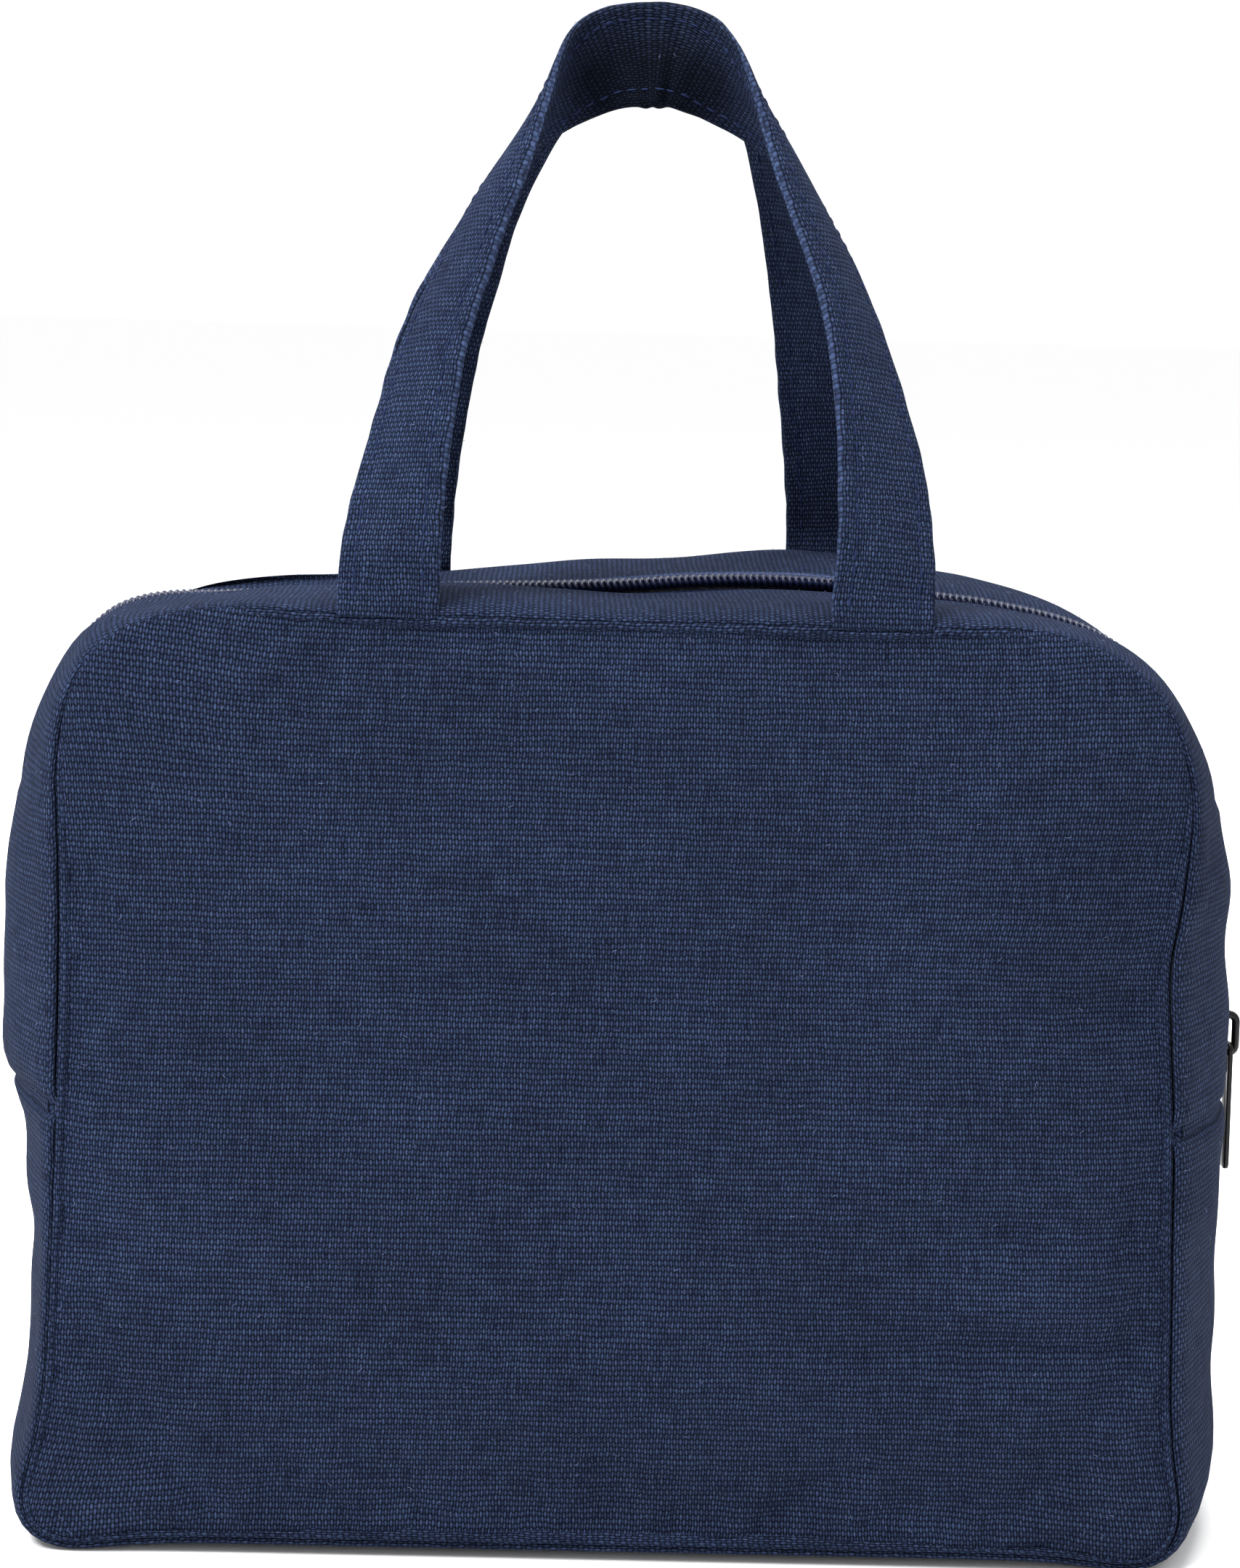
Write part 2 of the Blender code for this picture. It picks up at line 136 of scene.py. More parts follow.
def settle(points):
    # the whole soft body leans out towards its base
    placed = np.array(points, float)
    low = np.clip(1.0 - placed[..., 2] / shell["top"], 0.0, 1.0)
    placed[..., 1] *= 1.0 + settling["lean"] / shell["halfDepth"] * low
    x, z = placed[..., 0].copy(), placed[..., 2].copy()
    left = through(settling["height"], settling["left"], z / mm) * mm
    right = through(settling["height"], settling["right"], z / mm) * mm
    placed[..., 0] += x / shell["halfWidth"] * np.where(x < 0.0, left, right)
    for cx, cz, reach, out, up in settling["corners"]:
        near = np.exp(-(((x / mm - cx) ** 2 + (z / mm - cz) ** 2) / reach**2))
        placed[..., 0] += math.copysign(out, cx) * mm * near
        placed[..., 2] += up * mm * near
    sag = np.exp(-(((x / mm + 78) / 22) ** 2)) * ease(placed[..., 1] / shell["halfDepth"])
    placed[..., 2] -= settling["rearSag"] * sag * ease((z / mm - 120) / 50)
    placed[..., 2] = np.maximum(placed[..., 2], np.minimum(z, 0.1 * mm))
    return placed


# outline paths

def walk(pieces, spacing):
    # points, outward normals and distances along straight and round stretches
    spots = []
    for kind, *values in pieces:
        if kind == "line":
            (x0, z0), (x1, z1), normal = values
            steps = max(2, round(math.hypot(x1 - x0, z1 - z0) / spacing))
            for t in np.linspace(0.0, 1.0, steps + 1):
                spots.append((x0 + (x1 - x0) * t, z0 + (z1 - z0) * t, *normal))
        else:
            (cx, cz), radius, first, last = values
            steps = max(6, round(math.radians(abs(last - first)) * radius / spacing))
            for angle in np.radians(np.linspace(first, last, steps + 1)):
                across, up = math.cos(angle), math.sin(angle)
                spots.append((cx + radius * across, cz + radius * up, across, up))
    kept = [spots[0]]
    for spot in spots[1:]:
        if math.hypot(spot[0] - kept[-1][0], spot[1] - kept[-1][1]) > 1e-6:
            kept.append(spot)
    path = np.array(kept)
    steps = np.hypot(np.diff(path[:, 0]), np.diff(path[:, 1]))
    return path[:, :2], path[:, 2:], np.concatenate([[0.0], np.cumsum(steps)])


def outlinePieces():
    w, top, bottom, seam = shell["halfWidth"], shell["top"], shell["bottom"], shell["crossSeam"]
    upR, lowR = shell["topRadius"], shell["bottomRadius"]
    upper = [
        ("line", (w, seam), (w, top - upR), (1, 0)),
        ("arc", (w - upR, top - upR), upR, 0, 90),
        ("line", (w - upR, top), (upR - w, top), (0, 1)),
        ("arc", (upR - w, top - upR), upR, 90, 180),
        ("line", (-w, top - upR), (-w, seam), (-1, 0)),
    ]
    lower = [
        ("line", (-w, seam), (-w, bottom + lowR), (-1, 0)),
        ("arc", (lowR - w, bottom + lowR), lowR, 180, 270),
        ("line", (lowR - w, bottom), (w - lowR, bottom), (0, -1)),
        ("arc", (w - lowR, bottom + lowR), lowR, 270, 360),
        ("line", (w, bottom + lowR), (w, seam), (1, 0)),
    ]
    return upper, lower


def wallSides():
    # the wall's outline as four sides that meet in the middle of its round corners
    w, top, bottom = shell["halfWidth"], shell["top"], shell["bottom"]
    upR, lowR = shell["topRadius"], shell["bottomRadius"]
    corners = {
        "bottomLeft": ((lowR - w, bottom + lowR), lowR, 225),
        "bottomRight": ((w - lowR, bottom + lowR), lowR, 315),
        "topRight": ((w - upR, top - upR), upR, 45),
        "topLeft": ((upR - w, top - upR), upR, 135),
    }
    order = ["bottomLeft", "bottomRight", "topRight", "topLeft"]
    sides = []
    for name, following in zip(order, order[1:] + order[:1]):
        (c0, r0, a0), (c1, r1, _) = corners[name], corners[following]
        turn = (a0 + 45) % 360
        normal = (round(math.cos(math.radians(turn))), round(math.sin(math.radians(turn))))
        start = (c0[0] + r0 * normal[0], c0[1] + r0 * normal[1])
        end = (c1[0] + r1 * normal[0], c1[1] + r1 * normal[1])
        first, last = ("arc", c0, r0, a0, a0 + 45), ("arc", c1, r1, a0 + 45, a0 + 90)
        pieces = [first, ("line", start, end, normal), last]
        sides.append(walk(pieces, 1 * mm))
    return sides


def evenly(path, distances, count):
    wanted = np.linspace(0.0, distances[-1], count + 1)
    return np.stack([np.interp(wanted, distances, path[:, k]) for k in range(2)], -1)


def wallGrid(columns, rows):
    # a grid that fills the wall's outline, columns + 1 by rows + 1 points of (x, z)
    bottom, right, top, left = wallSides()
    low = evenly(bottom[0], bottom[2], columns)
    high = evenly(top[0], top[2], columns)[::-1]
    rightEdge = evenly(right[0], right[2], rows)
    leftEdge = evenly(left[0], left[2], rows)[::-1]
    u = np.linspace(0.0, 1.0, columns + 1)[:, None, None]
    v = np.linspace(0.0, 1.0, rows + 1)[None, :, None]
    grid = low[:, None] * (1 - v) + high[:, None] * v + leftEdge[None] * (1 - u) + rightEdge[None] * u
    grid -= low[0] * (1 - u) * (1 - v) + low[-1] * u * (1 - v) + high[0] * (1 - u) * v + high[-1] * u * v
    return grid


def insideDistance(x, z, inset=0.0):
    # distance in from the wall's outline
    middle = (shell["top"] + shell["bottom"]) / 2
    radius = np.where(z > middle, shell["topRadius"], shell["bottomRadius"]) - inset
    qx = np.abs(x) - (shell["halfWidth"] - inset - radius)
    qz = np.abs(z - middle) - ((shell["top"] - shell["bottom"]) / 2 - inset - radius)
    outside = np.hypot(np.maximum(qx, 0.0), np.maximum(qz, 0.0))
    return radius - outside - np.minimum(np.maximum(qx, qz), 0.0)


# meshes from grids

def gridSolid(name, outer, inner, uv, material, wear=None, paintedShade=None):
    # a closed sheet between an outer and an inner grid of points, with its weave laid along it
    rows, columns = outer.shape[:2]
    points = np.concatenate([outer.reshape(-1, 3), inner.reshape(-1, 3)])
    index = np.arange(rows * columns).reshape(rows, columns)
    back = index + rows * columns
    quads = np.stack([index[:-1, :-1], index[1:, :-1], index[1:, 1:], index[:-1, 1:]], -1).reshape(-1, 4)
    faces = [quads, quads[:, ::-1] + rows * columns]
    rim = np.concatenate([index[0, :], index[1:, -1], index[-1, -2::-1], index[-2:0:-1, 0]])
    rimBack = np.concatenate([back[0, :], back[1:, -1], back[-1, -2::-1], back[-2:0:-1, 0]])
    faces.append(np.stack([rim, np.roll(rim, -1), np.roll(rimBack, -1), rimBack], -1))
    faces = np.concatenate(faces)
    mesh = bpy.data.meshes.new(name)
    mesh.from_pydata(points.tolist(), [], faces.tolist())
    # the weave runs on round the cut edges
    thickness = min(np.linalg.norm(outer - inner, axis=-1).mean(), 1.5 * mm)
    low, high = uv.min((0, 1)), uv.max((0, 1))
    middle, grown = (low + high) / 2, 1.0 + 2.0 * thickness / np.maximum(high - low, 1e-4)
    flat = np.concatenate([uv.reshape(-1, 2), middle + (uv.reshape(-1, 2) - middle) * grown])
    layer = mesh.uv_layers.new(name="weave")
    layer.data.foreach_set("uv", flat[faces.reshape(-1)].astype(np.float32).reshape(-1))
    worn = np.zeros(len(points)) if wear is None else np.concatenate([wear.reshape(-1)] * 2)
    mesh.attributes.new("wear", "FLOAT", "POINT").data.foreach_set("value", worn.astype(np.float32))
    if paintedShade is not None:
        # the inner face only: painted shade inside the grip, where the strap's inside lies in shadow
        pinnedOrShaded = np.concatenate([0.0 * paintedShade.reshape(-1), paintedShade.reshape(-1)])
        mesh.attributes.new("paintedShade", "FLOAT", "POINT").data.foreach_set("value", pinnedOrShaded.astype(np.float32))
    tidy = bmesh.new()
    tidy.from_mesh(mesh)
    bmesh.ops.remove_doubles(tidy, verts=tidy.verts, dist=1e-6)
    bmesh.ops.dissolve_degenerate(tidy, dist=1e-7, edges=tidy.edges)
    bmesh.ops.recalc_face_normals(tidy, faces=tidy.faces)
    if tidy.calc_volume(signed=True) < 0.0:
        bmesh.ops.reverse_faces(tidy, faces=tidy.faces)
    tidy.to_mesh(mesh)
    tidy.free()
    mesh.shade_smooth()
    mesh.materials.append(material)
    made = bpy.data.objects.new(name, mesh)
    scene.collection.objects.link(made)
    return made


def foldWith(piece):
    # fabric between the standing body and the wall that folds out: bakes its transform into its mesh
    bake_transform(piece)


def swingWith(piece):
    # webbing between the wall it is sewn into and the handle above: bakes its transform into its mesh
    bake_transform(piece)


# materials

def linear(hexColour):
    # sRGB hex to linear colour
    parts = [int(hexColour[k : k + 2], 16) / 255 for k in (1, 3, 5)]
    return tuple(p / 12.92 if p <= 0.04045 else ((p + 0.055) / 1.055) ** 2.4 for p in parts) + (1.0,)


def addNode(tree, kind, links=None, **settings):
    node = tree.nodes.new(kind)
    for key, value in settings.items():
        setattr(node, key, value)
    for socket, source in (links or {}).items():
        if isinstance(source, bpy.types.NodeSocket):
            tree.links.new(source, node.inputs[socket])
        else:
            node.inputs[socket].default_value = source
    return node


def newMaterial(name, **sockets):
    material = bpy.data.materials.new(name)
    material.use_nodes = True
    shader = material.node_tree.nodes["Principled BSDF"]
    for socket, value in sockets.items():
        shader.inputs[socket.replace("_", " ")].default_value = value
    return material, material.node_tree, shader


canvas = {
    "warpPitch": 0.54 * mm,
    "weftPitch": 1.03 * mm,
    "paintedGapShade": "#03050b",  # painted shade in the gaps between yarns
    "yarn": "#151c32",
    "slub": "#35425f",
    "fuzz": "#505d80",  # bare cotton ends on worn folds
    "height": 0.36 * mm,
    "paintedShadeStrength": 0.72,  # how much the painted shade darkens the cloth inside the grip
}


def wovenCanvas(name, look, tint=1.0):
    # plain-weave cotton canvas: matt, rows of small yarn bumps with painted shade in the gaps between them,
    # uneven slubs
    material, tree, shader = newMaterial(name, Roughness=0.95, Sheen_Weight=0.02, Sheen_Roughness=0.4)
    shader.inputs["Sheen Tint"].default_value = linear("#7d94d6")
    shader.inputs["Specular IOR Level"].default_value = 0.04
    uv = addNode(tree, "ShaderNodeUVMap", uv_map="weave").outputs["UV"]
    wander = addNode(tree, "ShaderNodeTexNoise", {"Vector": uv, "Scale": 190.0, "Detail": 2.0})
    centred = addNode(
        tree, "ShaderNodeVectorMath", {0: wander.outputs["Color"], 1: (0.5, 0.5, 0.5)}, operation="SUBTRACT"
    )
    drift = addNode(
        tree, "ShaderNodeVectorMath", {0: centred.outputs[0], 1: (0.9 * mm,) * 3}, operation="MULTIPLY"
    )
    bent = addNode(tree, "ShaderNodeVectorMath", {0: uv, 1: drift.outputs[0]}, operation="ADD").outputs[0]
    counts = (1.0 / look["warpPitch"], 1.0 / look["weftPitch"], 0.0)
    yarns = addNode(tree, "ShaderNodeVectorMath", {0: bent, 1: counts}, operation="MULTIPLY").outputs[0]
    cell = addNode(tree, "ShaderNodeVectorMath", {0: yarns}, operation="FLOOR").outputs[0]
    halfTurn = (math.pi,) * 3
    turns = addNode(tree, "ShaderNodeVectorMath", {0: yarns, 1: halfTurn}, operation="MULTIPLY")
    halves = addNode(tree, "ShaderNodeVectorMath", {0: cell, 1: halfTurn}, operation="MULTIPLY")
    wave = addNode(tree, "ShaderNodeVectorMath", {0: turns.outputs[0]}, operation="SINE").outputs[0]
    parity = addNode(tree, "ShaderNodeVectorMath", {0: halves.outputs[0]}, operation="COSINE").outputs[0]
    across = addNode(tree, "ShaderNodeSeparateXYZ", {0: wave}).outputs
    parities = addNode(tree, "ShaderNodeSeparateXYZ", {0: parity}).outputs
    heights = []
    # warp yarns rise over every other weft, and wefts rise between them
    for own, other, sign in ((0, 1, 0.5), (1, 0, -0.5)):
        crimp = addNode(tree, "ShaderNodeMath", {0: across[other], 1: parities[own]}, operation="MULTIPLY")
        lifted = addNode(
            tree, "ShaderNodeMath", {0: crimp.outputs[0], 1: sign, 2: 0.5}, operation="MULTIPLY_ADD"
        )
        size = addNode(tree, "ShaderNodeMath", {0: across[own]}, operation="ABSOLUTE")
        plump = addNode(tree, "ShaderNodeMath", {0: size.outputs[0], 1: 0.6}, operation="POWER")
        heights.append(
            addNode(tree, "ShaderNodeMath", {0: plump.outputs[0], 1: lifted.outputs[0]}, operation="MULTIPLY")
        )
    weft = addNode(tree, "ShaderNodeMath", {0: heights[1].outputs[0], 1: 0.6}, operation="MULTIPLY")
    height = addNode(
        tree, "ShaderNodeMath", {0: heights[0].outputs[0], 1: weft.outputs[0]}, operation="MAXIMUM"
    ).outputs[0]
    # thick and thin lengths of yarn, long along each yarn and one yarn wide
    slubs = []
    alongWarp = (160.0, 1.0 / look["weftPitch"], 0.0)
    alongWeft = (1.0 / look["warpPitch"], 160.0, 0.0)
    for stretch, strength in ((alongWarp, 0.45), (alongWeft, 0.55)):
        laid = addNode(tree, "ShaderNodeVectorMath", {0: bent, 1: stretch}, operation="MULTIPLY")
        noise = addNode(tree, "ShaderNodeTexNoise", {"Vector": laid.outputs[0], "Scale": 1.0, "Detail": 1.0})
        scaled = addNode(tree, "ShaderNodeMath", {0: noise.outputs[0], 1: strength}, operation="MULTIPLY")
        slubs.append(scaled)
    slub = addNode(tree, "ShaderNodeMath", {0: slubs[0].outputs[0], 1: slubs[1].outputs[0]}, operation="ADD")
    hairs = addNode(tree, "ShaderNodeTexNoise", {"Vector": uv, "Scale": 2600.0, "Detail": 2.0}).outputs[0]
    cloud = addNode(tree, "ShaderNodeTexNoise", {"Vector": uv, "Scale": 28.0, "Detail": 4.0}).outputs[0]
    tone = addNode(
        tree,
        "ShaderNodeMapRange",
        {"Value": slub.outputs[0], "From Min": 0.25, "From Max": 0.75, "To Min": 0.0, "To Max": 1.0},
    ).outputs[0]
    yarnColour = addNode(
        tree, "ShaderNodeMix", {0: tone, 6: linear(look["yarn"]), 7: linear(look["slub"])}, data_type="RGBA"
    )
    shown = addNode(
        tree,
        "ShaderNodeMapRange",
        {"Value": height, "From Min": 0.25, "From Max": 0.85, "To Min": 0.0, "To Max": 1.0},
    ).outputs[0]
    # painted shade: the low gaps of the weave take the near-black gap colour, the raised yarns their own
    weave = addNode(
        tree, "ShaderNodeMix", {0: shown, 6: linear(look["paintedGapShade"]), 7: yarnColour.outputs[2]}, data_type="RGBA"
    )
    flecks = addNode(
        tree,
        "ShaderNodeMapRange",
        {"Value": hairs, "From Min": 0.58, "From Max": 0.8, "To Min": 0.0, "To Max": 0.5},
    ).outputs[0]
    fleckShare = addNode(tree, "ShaderNodeMath", {0: flecks, 1: shown}, operation="MULTIPLY").outputs[0]
    flecked = addNode(
        tree, "ShaderNodeMix", {0: fleckShare, 6: weave.outputs[2], 7: linear(look["fuzz"])}, data_type="RGBA"
    )
    patchy = addNode(
        tree,
        "ShaderNodeMapRange",
        {"Value": cloud, "From Min": 0.3, "From Max": 0.7, "To Min": 0.86 * tint, "To Max": 1.14 * tint},
    ).outputs[0]
    shaded = addNode(
        tree, "ShaderNodeVectorMath", {0: flecked.outputs[2], "Scale": patchy}, operation="SCALE"
    ).outputs[0]
    worn = addNode(tree, "ShaderNodeAttribute", attribute_name="wear").outputs["Fac"]
    wornShare = addNode(tree, "ShaderNodeMath", {0: worn, 1: hairs}, operation="MULTIPLY").outputs[0]
    final = addNode(
        tree, "ShaderNodeMix", {0: wornShare, 6: shaded, 7: linear(look["fuzz"])}, data_type="RGBA"
    )
    # painted shade: this attribute darkens the canvas colour on the inner face of the grip
    paintedShade = addNode(tree, "ShaderNodeAttribute", attribute_name="paintedShade").outputs["Fac"]
    pinnedOrShaded = addNode(tree, "ShaderNodeMath", {0: paintedShade, 1: -look["paintedShadeStrength"], 2: 1.0}, operation="MULTIPLY_ADD")
    gripPaintedShade = addNode(
        tree, "ShaderNodeVectorMath", {0: final.outputs[2], "Scale": pinnedOrShaded.outputs[0]}, operation="SCALE"
    )
    tree.links.new(gripPaintedShade.outputs[0], shader.inputs["Base Color"])
    raised = addNode(tree, "ShaderNodeMath", {0: hairs, 1: 0.35, 2: height}, operation="MULTIPLY_ADD")
    bump = addNode(
        tree, "ShaderNodeBump", {"Height": raised.outputs[0], "Distance": look["height"], "Strength": 1.0}
    )
    tree.links.new(bump.outputs[0], shader.inputs["Normal"])
    return material


def softSheetMaterial(name, hexDark, hexLight, scale, bumpHeight, **sockets):
    # an even sheet whose tone and surface waver at one scale
    material, tree, shader = newMaterial(name, **sockets)
    place = addNode(tree, "ShaderNodeTexCoord").outputs["Object"]
    noise = addNode(tree, "ShaderNodeTexNoise", {"Vector": place, "Scale": scale, "Detail": 4.0}).outputs[0]
    colour = addNode(
        tree, "ShaderNodeMix", {0: noise, 6: linear(hexDark), 7: linear(hexLight)}, data_type="RGBA"
    )
    tree.links.new(colour.outputs[2], shader.inputs["Base Color"])
    bump = addNode(tree, "ShaderNodeBump", {"Height": noise, "Distance": bumpHeight, "Strength": 1.0})
    tree.links.new(bump.outputs[0], shader.inputs["Normal"])
    return material


def wovenTape(name, hexDark, hexLight, pitch):
    # narrow woven tape: fine slanting ribs, flatter and smoother than canvas
    material, tree, shader = newMaterial(name, Roughness=0.85, Sheen_Weight=0.02, Specular_IOR_Level=0.12)
    uv = addNode(tree, "ShaderNodeUVMap", uv_map="weave").outputs["UV"]
    parts = addNode(tree, "ShaderNodeSeparateXYZ", {0: uv}).outputs
    slant = addNode(tree, "ShaderNodeMath", {0: parts[0], 1: parts[1]}, operation="ADD").outputs[0]
    phase = addNode(tree, "ShaderNodeMath", {0: slant, 1: math.tau / pitch}, operation="MULTIPLY").outputs[0]
    rib = addNode(tree, "ShaderNodeMath", {0: phase}, operation="SINE").outputs[0]
    share = addNode(tree, "ShaderNodeMath", {0: rib, 1: 0.5, 2: 0.5}, operation="MULTIPLY_ADD").outputs[0]
    colour = addNode(
        tree, "ShaderNodeMix", {0: share, 6: linear(hexDark), 7: linear(hexLight)}, data_type="RGBA"
    )
    tree.links.new(colour.outputs[2], shader.inputs["Base Color"])
    bump = addNode(tree, "ShaderNodeBump", {"Height": share, "Distance": 0.08 * mm, "Strength": 1.0})
    tree.links.new(bump.outputs[0], shader.inputs["Normal"])
    return material


bodyCanvas = wovenCanvas("navyCottonCanvas", canvas)
strapCanvas = wovenCanvas("foldedStrapCanvas", canvas, tint=1.12)
# closed-cell polyethylene foam: dull off-white with fine cells
foamMaterial = softSheetMaterial("closedCellFoam", "#cfcfca", "#e6e6e2", 900.0, 0.15 * mm, Roughness=0.95)
# heat-sealed foil film: silver, softly creased
liningMaterial = softSheetMaterial(
    "silverLiningFilm", "#a9adb2", "#c9cdd1", 60.0, 0.5 * mm, Roughness=0.34, Metallic=0.65
)
bindingMaterial = wovenTape("wovenBindingTape", "#151a2b", "#252d49", 0.6 * mm)
tapeMaterial = wovenTape("wovenZipTape", "#131a33", "#222c50", 0.5 * mm)
# moulded nylon: smooth, a little translucent to the eye, with a soft highlight
nylonMaterial = softSheetMaterial(
    "mouldedNylonCoil", "#0b1024", "#161e3c", 400.0, 0.02 * mm, Roughness=0.35, Specular_IOR_Level=0.3
)
# gloss enamel over die-cast zinc: near black, small highlights, faint orange peel
enamelMaterial = softSheetMaterial(
    "blackEnamelDieCasting", "#08080a", "#0d0d11", 700.0, 0.01 * mm, Roughness=0.3, Specular_IOR_Level=0.18
)
# spun polyester thread: close to the canvas in colour, nearly matt
threadMaterial = softSheetMaterial(
    "spunThread", "#0e152b", "#192444", 3000.0, 0.03 * mm, Roughness=0.8, Specular_IOR_Level=0.1
)
# bare cotton fibre and lint: pale and matt
lintMaterial = softSheetMaterial("cottonLint", "#36436a", "#6a7699", 2000.0, 0.01 * mm, Roughness=0.9)
print("materials made")

# the walls

wallLook = {
    "columns": 84,
    "rows": 72,
    "rimWidth": 6 * mm,
    "rimDepth": 2.4 * mm,
    "inset": 0.4 * mm,
    "foamInset": 7.2 * mm,  # how far in from the seam the foam and lining stop
    "foamClear": 1.4 * mm,  # room under the canvas for its deepest pucker
}
padding = {"pressure": 4.0, "frames": 20, "cap": 3.2 * mm, "slack": 0.012, "depth": 5.4 * mm}


def inflate(face, sign):
    # the padded wall swells between its seams: cloth under pressure, sewn down at its rim and back
    rows, columns = face.shape[:2]
    back = face.copy()
    back[..., 1] = sign * (shell["halfDepth"] - padding["depth"])
    uv = np.zeros(face.shape[:2] + (2,))
    pad = gridSolid("paddingForm", face, back, uv, bodyCanvas)
    # the outer grid's points come first in the mesh, and merging leaves their order alone
    count = rows * columns
    index = np.arange(count).reshape(rows, columns)
    edge = np.concatenate([index[0], index[-1], index[:, 0], index[:, -1]])
    pinnedOrShaded = pad.vertex_groups.new(name="sewn")
    pinnedOrShaded.add([int(k) for k in np.unique(edge)] + list(range(count, len(pad.data.vertices))), 1.0, "REPLACE")
    cloth = pad.modifiers.new("padding", "CLOTH")
    cloth.settings.quality = 5
    cloth.settings.mass = 0.3
    cloth.settings.tension_stiffness = 15
    cloth.settings.compression_stiffness = 15
    cloth.settings.bending_stiffness = 1.5
    cloth.settings.shrink_min = -padding["slack"]
    cloth.settings.use_pressure = True
    cloth.settings.uniform_pressure_force = padding["pressure"]
    cloth.settings.effector_weights.gravity = 0.0
    cloth.settings.vertex_group_mass = "sewn"
    cloth.collision_settings.use_collision = False
    cloth.point_cache.frame_start = 1
    cloth.point_cache.frame_end = padding["frames"]
    for step in range(1, padding["frames"] + 1):
        scene.frame_set(step)
    swollen = pad.evaluated_get(bpy.context.evaluated_depsgraph_get()).data
    found = np.zeros(len(swollen.vertices) * 3)
    swollen.vertices.foreach_get("co", found)
    moved = found.reshape(-1, 3)[:count].reshape(face.shape) - face
    scene.frame_set(1)
    bpy.data.objects.remove(pad)
    length = np.linalg.norm(moved, axis=-1, keepdims=True)
    return face + moved * padding["cap"] * np.tanh(length / padding["cap"]) / np.maximum(length, 1e-9)


# soft dents and puckers in the front wall: place, half size and depth, all as the wall shows them
dents = [
    (84, 133, 15, 7, 2.4),
    (92, 106, 22, 3.6, 2.0),
    (86, 64, 22, 3.4, 2.0),
    (78, 43, 27, 3.8, 3.0),
    (-15, 107, 50, 6, 1.9),
    (-38, 91, 42, 6, 2.0),
    (5, 16, 85, 12, 2.8),
    (-90, 115, 12, 25, 0.8),
    (98, 95, 8, 60, 0.5),
]


def relief(x, z):
    depth = 0.0
    for cx, cz, rx, rz, amount in dents:
        depth = depth + amount * mm * np.exp(-(((x / mm - cx) / rx) ** 2) - ((z / mm - cz) / rz) ** 2)
    return depth + 0.28 * mm * ripples(x, z, 5, 42 * mm) + 0.10 * mm * ripples(x, z, 8, 15 * mm)


def wallFace(sign):
    grid = wallGrid(wallLook["columns"], wallLook["rows"])
    x, z = grid[..., 0], grid[..., 1]
    inside = insideDistance(x, z)
    roll = wallLook["rimDepth"] / wallLook["rimWidth"] * lip(inside, wallLook["rimWidth"])
    y = sign * (shell["halfDepth"] - roll)
    shrink = 1.0 - wallLook["inset"] / shell["halfWidth"]
    return np.stack([x * shrink, y, z], -1), inside


def buildWalls():
    face, inside = wallFace(-1)
    face = inflate(face, -1)
    uv = face[..., [0, 2]]
    x, z = face[..., 0], face[..., 2]
    fades = ease(inside / (8 * mm))
    for side, sign, flip in (("front", -1, 1), ("rear", 1, -1)):
        outer = face.copy()
        dip = relief(x * flip, z) * fades
        outer[..., 1] += dip
        outer[..., 1] *= -sign
        under = outer.copy()
        under[..., 1] -= sign * layers["canvas"][1]
        wall = gridSolid(side + "Wall", settle(outer), settle(under), uv, bodyCanvas)
        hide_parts(side + "_panel_lower", side + "_panel_upper")
        foldWith(wall)

        shrink = 1.0 - wallLook["foamInset"] / shell["halfWidth"]
        near = outer * (shrink, 1, 1)
        middle = (shell["top"] + shell["bottom"]) / 2
        lowered = 1.0 - wallLook["foamInset"] / (shell["top"] - middle)
        near[..., 2] = middle + (near[..., 2] - middle) * lowered
        near[..., 1] = sign * (shell["halfDepth"] - layers["foam"][0] - wallLook["foamClear"])
        far = near.copy()
        far[..., 1] = sign * (shell["halfDepth"] - layers["foam"][1])
        foam = gridSolid(side + "WallFoam", settle(near), settle(far), uv, foamMaterial)
        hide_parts(side + "_foam_lower", side + "_foam_upper")
        foldWith(foam)

        skin = far.copy()
        quilt = 0.25 * mm * ripples(x, z, 21 + flip, 18 * mm)
        skin[..., 1] = sign * (shell["halfDepth"] - layers["lining"][0] + np.minimum(quilt, 0.2 * mm))
        inner = skin.copy()
        inner[..., 1] -= sign * (layers["lining"][1] - layers["lining"][0])
        lining = gridSolid(side + "WallLining", settle(skin), settle(inner), uv, liningMaterial)
        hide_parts(side + "_lining_lower", side + "_lining_upper")
        foldWith(lining)


buildWalls()
print("walls made")

# the gussets

gusset = {
    "spacing": 2.2 * mm,
    "seamRoll": 1.8 * mm,
    "seamRollWidth": 4.5 * mm,
    "stripEdge": 4.5 * mm,
    "edge": 48.7 * mm,
    # each hidden layer's start and end, out from the middle of the depth
    "foam": (12.5 * mm, 43.0 * mm),
    "lining": (9 * mm, 44 * mm),
    "tape": (1.1 * mm, 12 * mm),
    "weaveStart": 0.11,  # the lower gusset's weave doesn't match across the cross seams
}
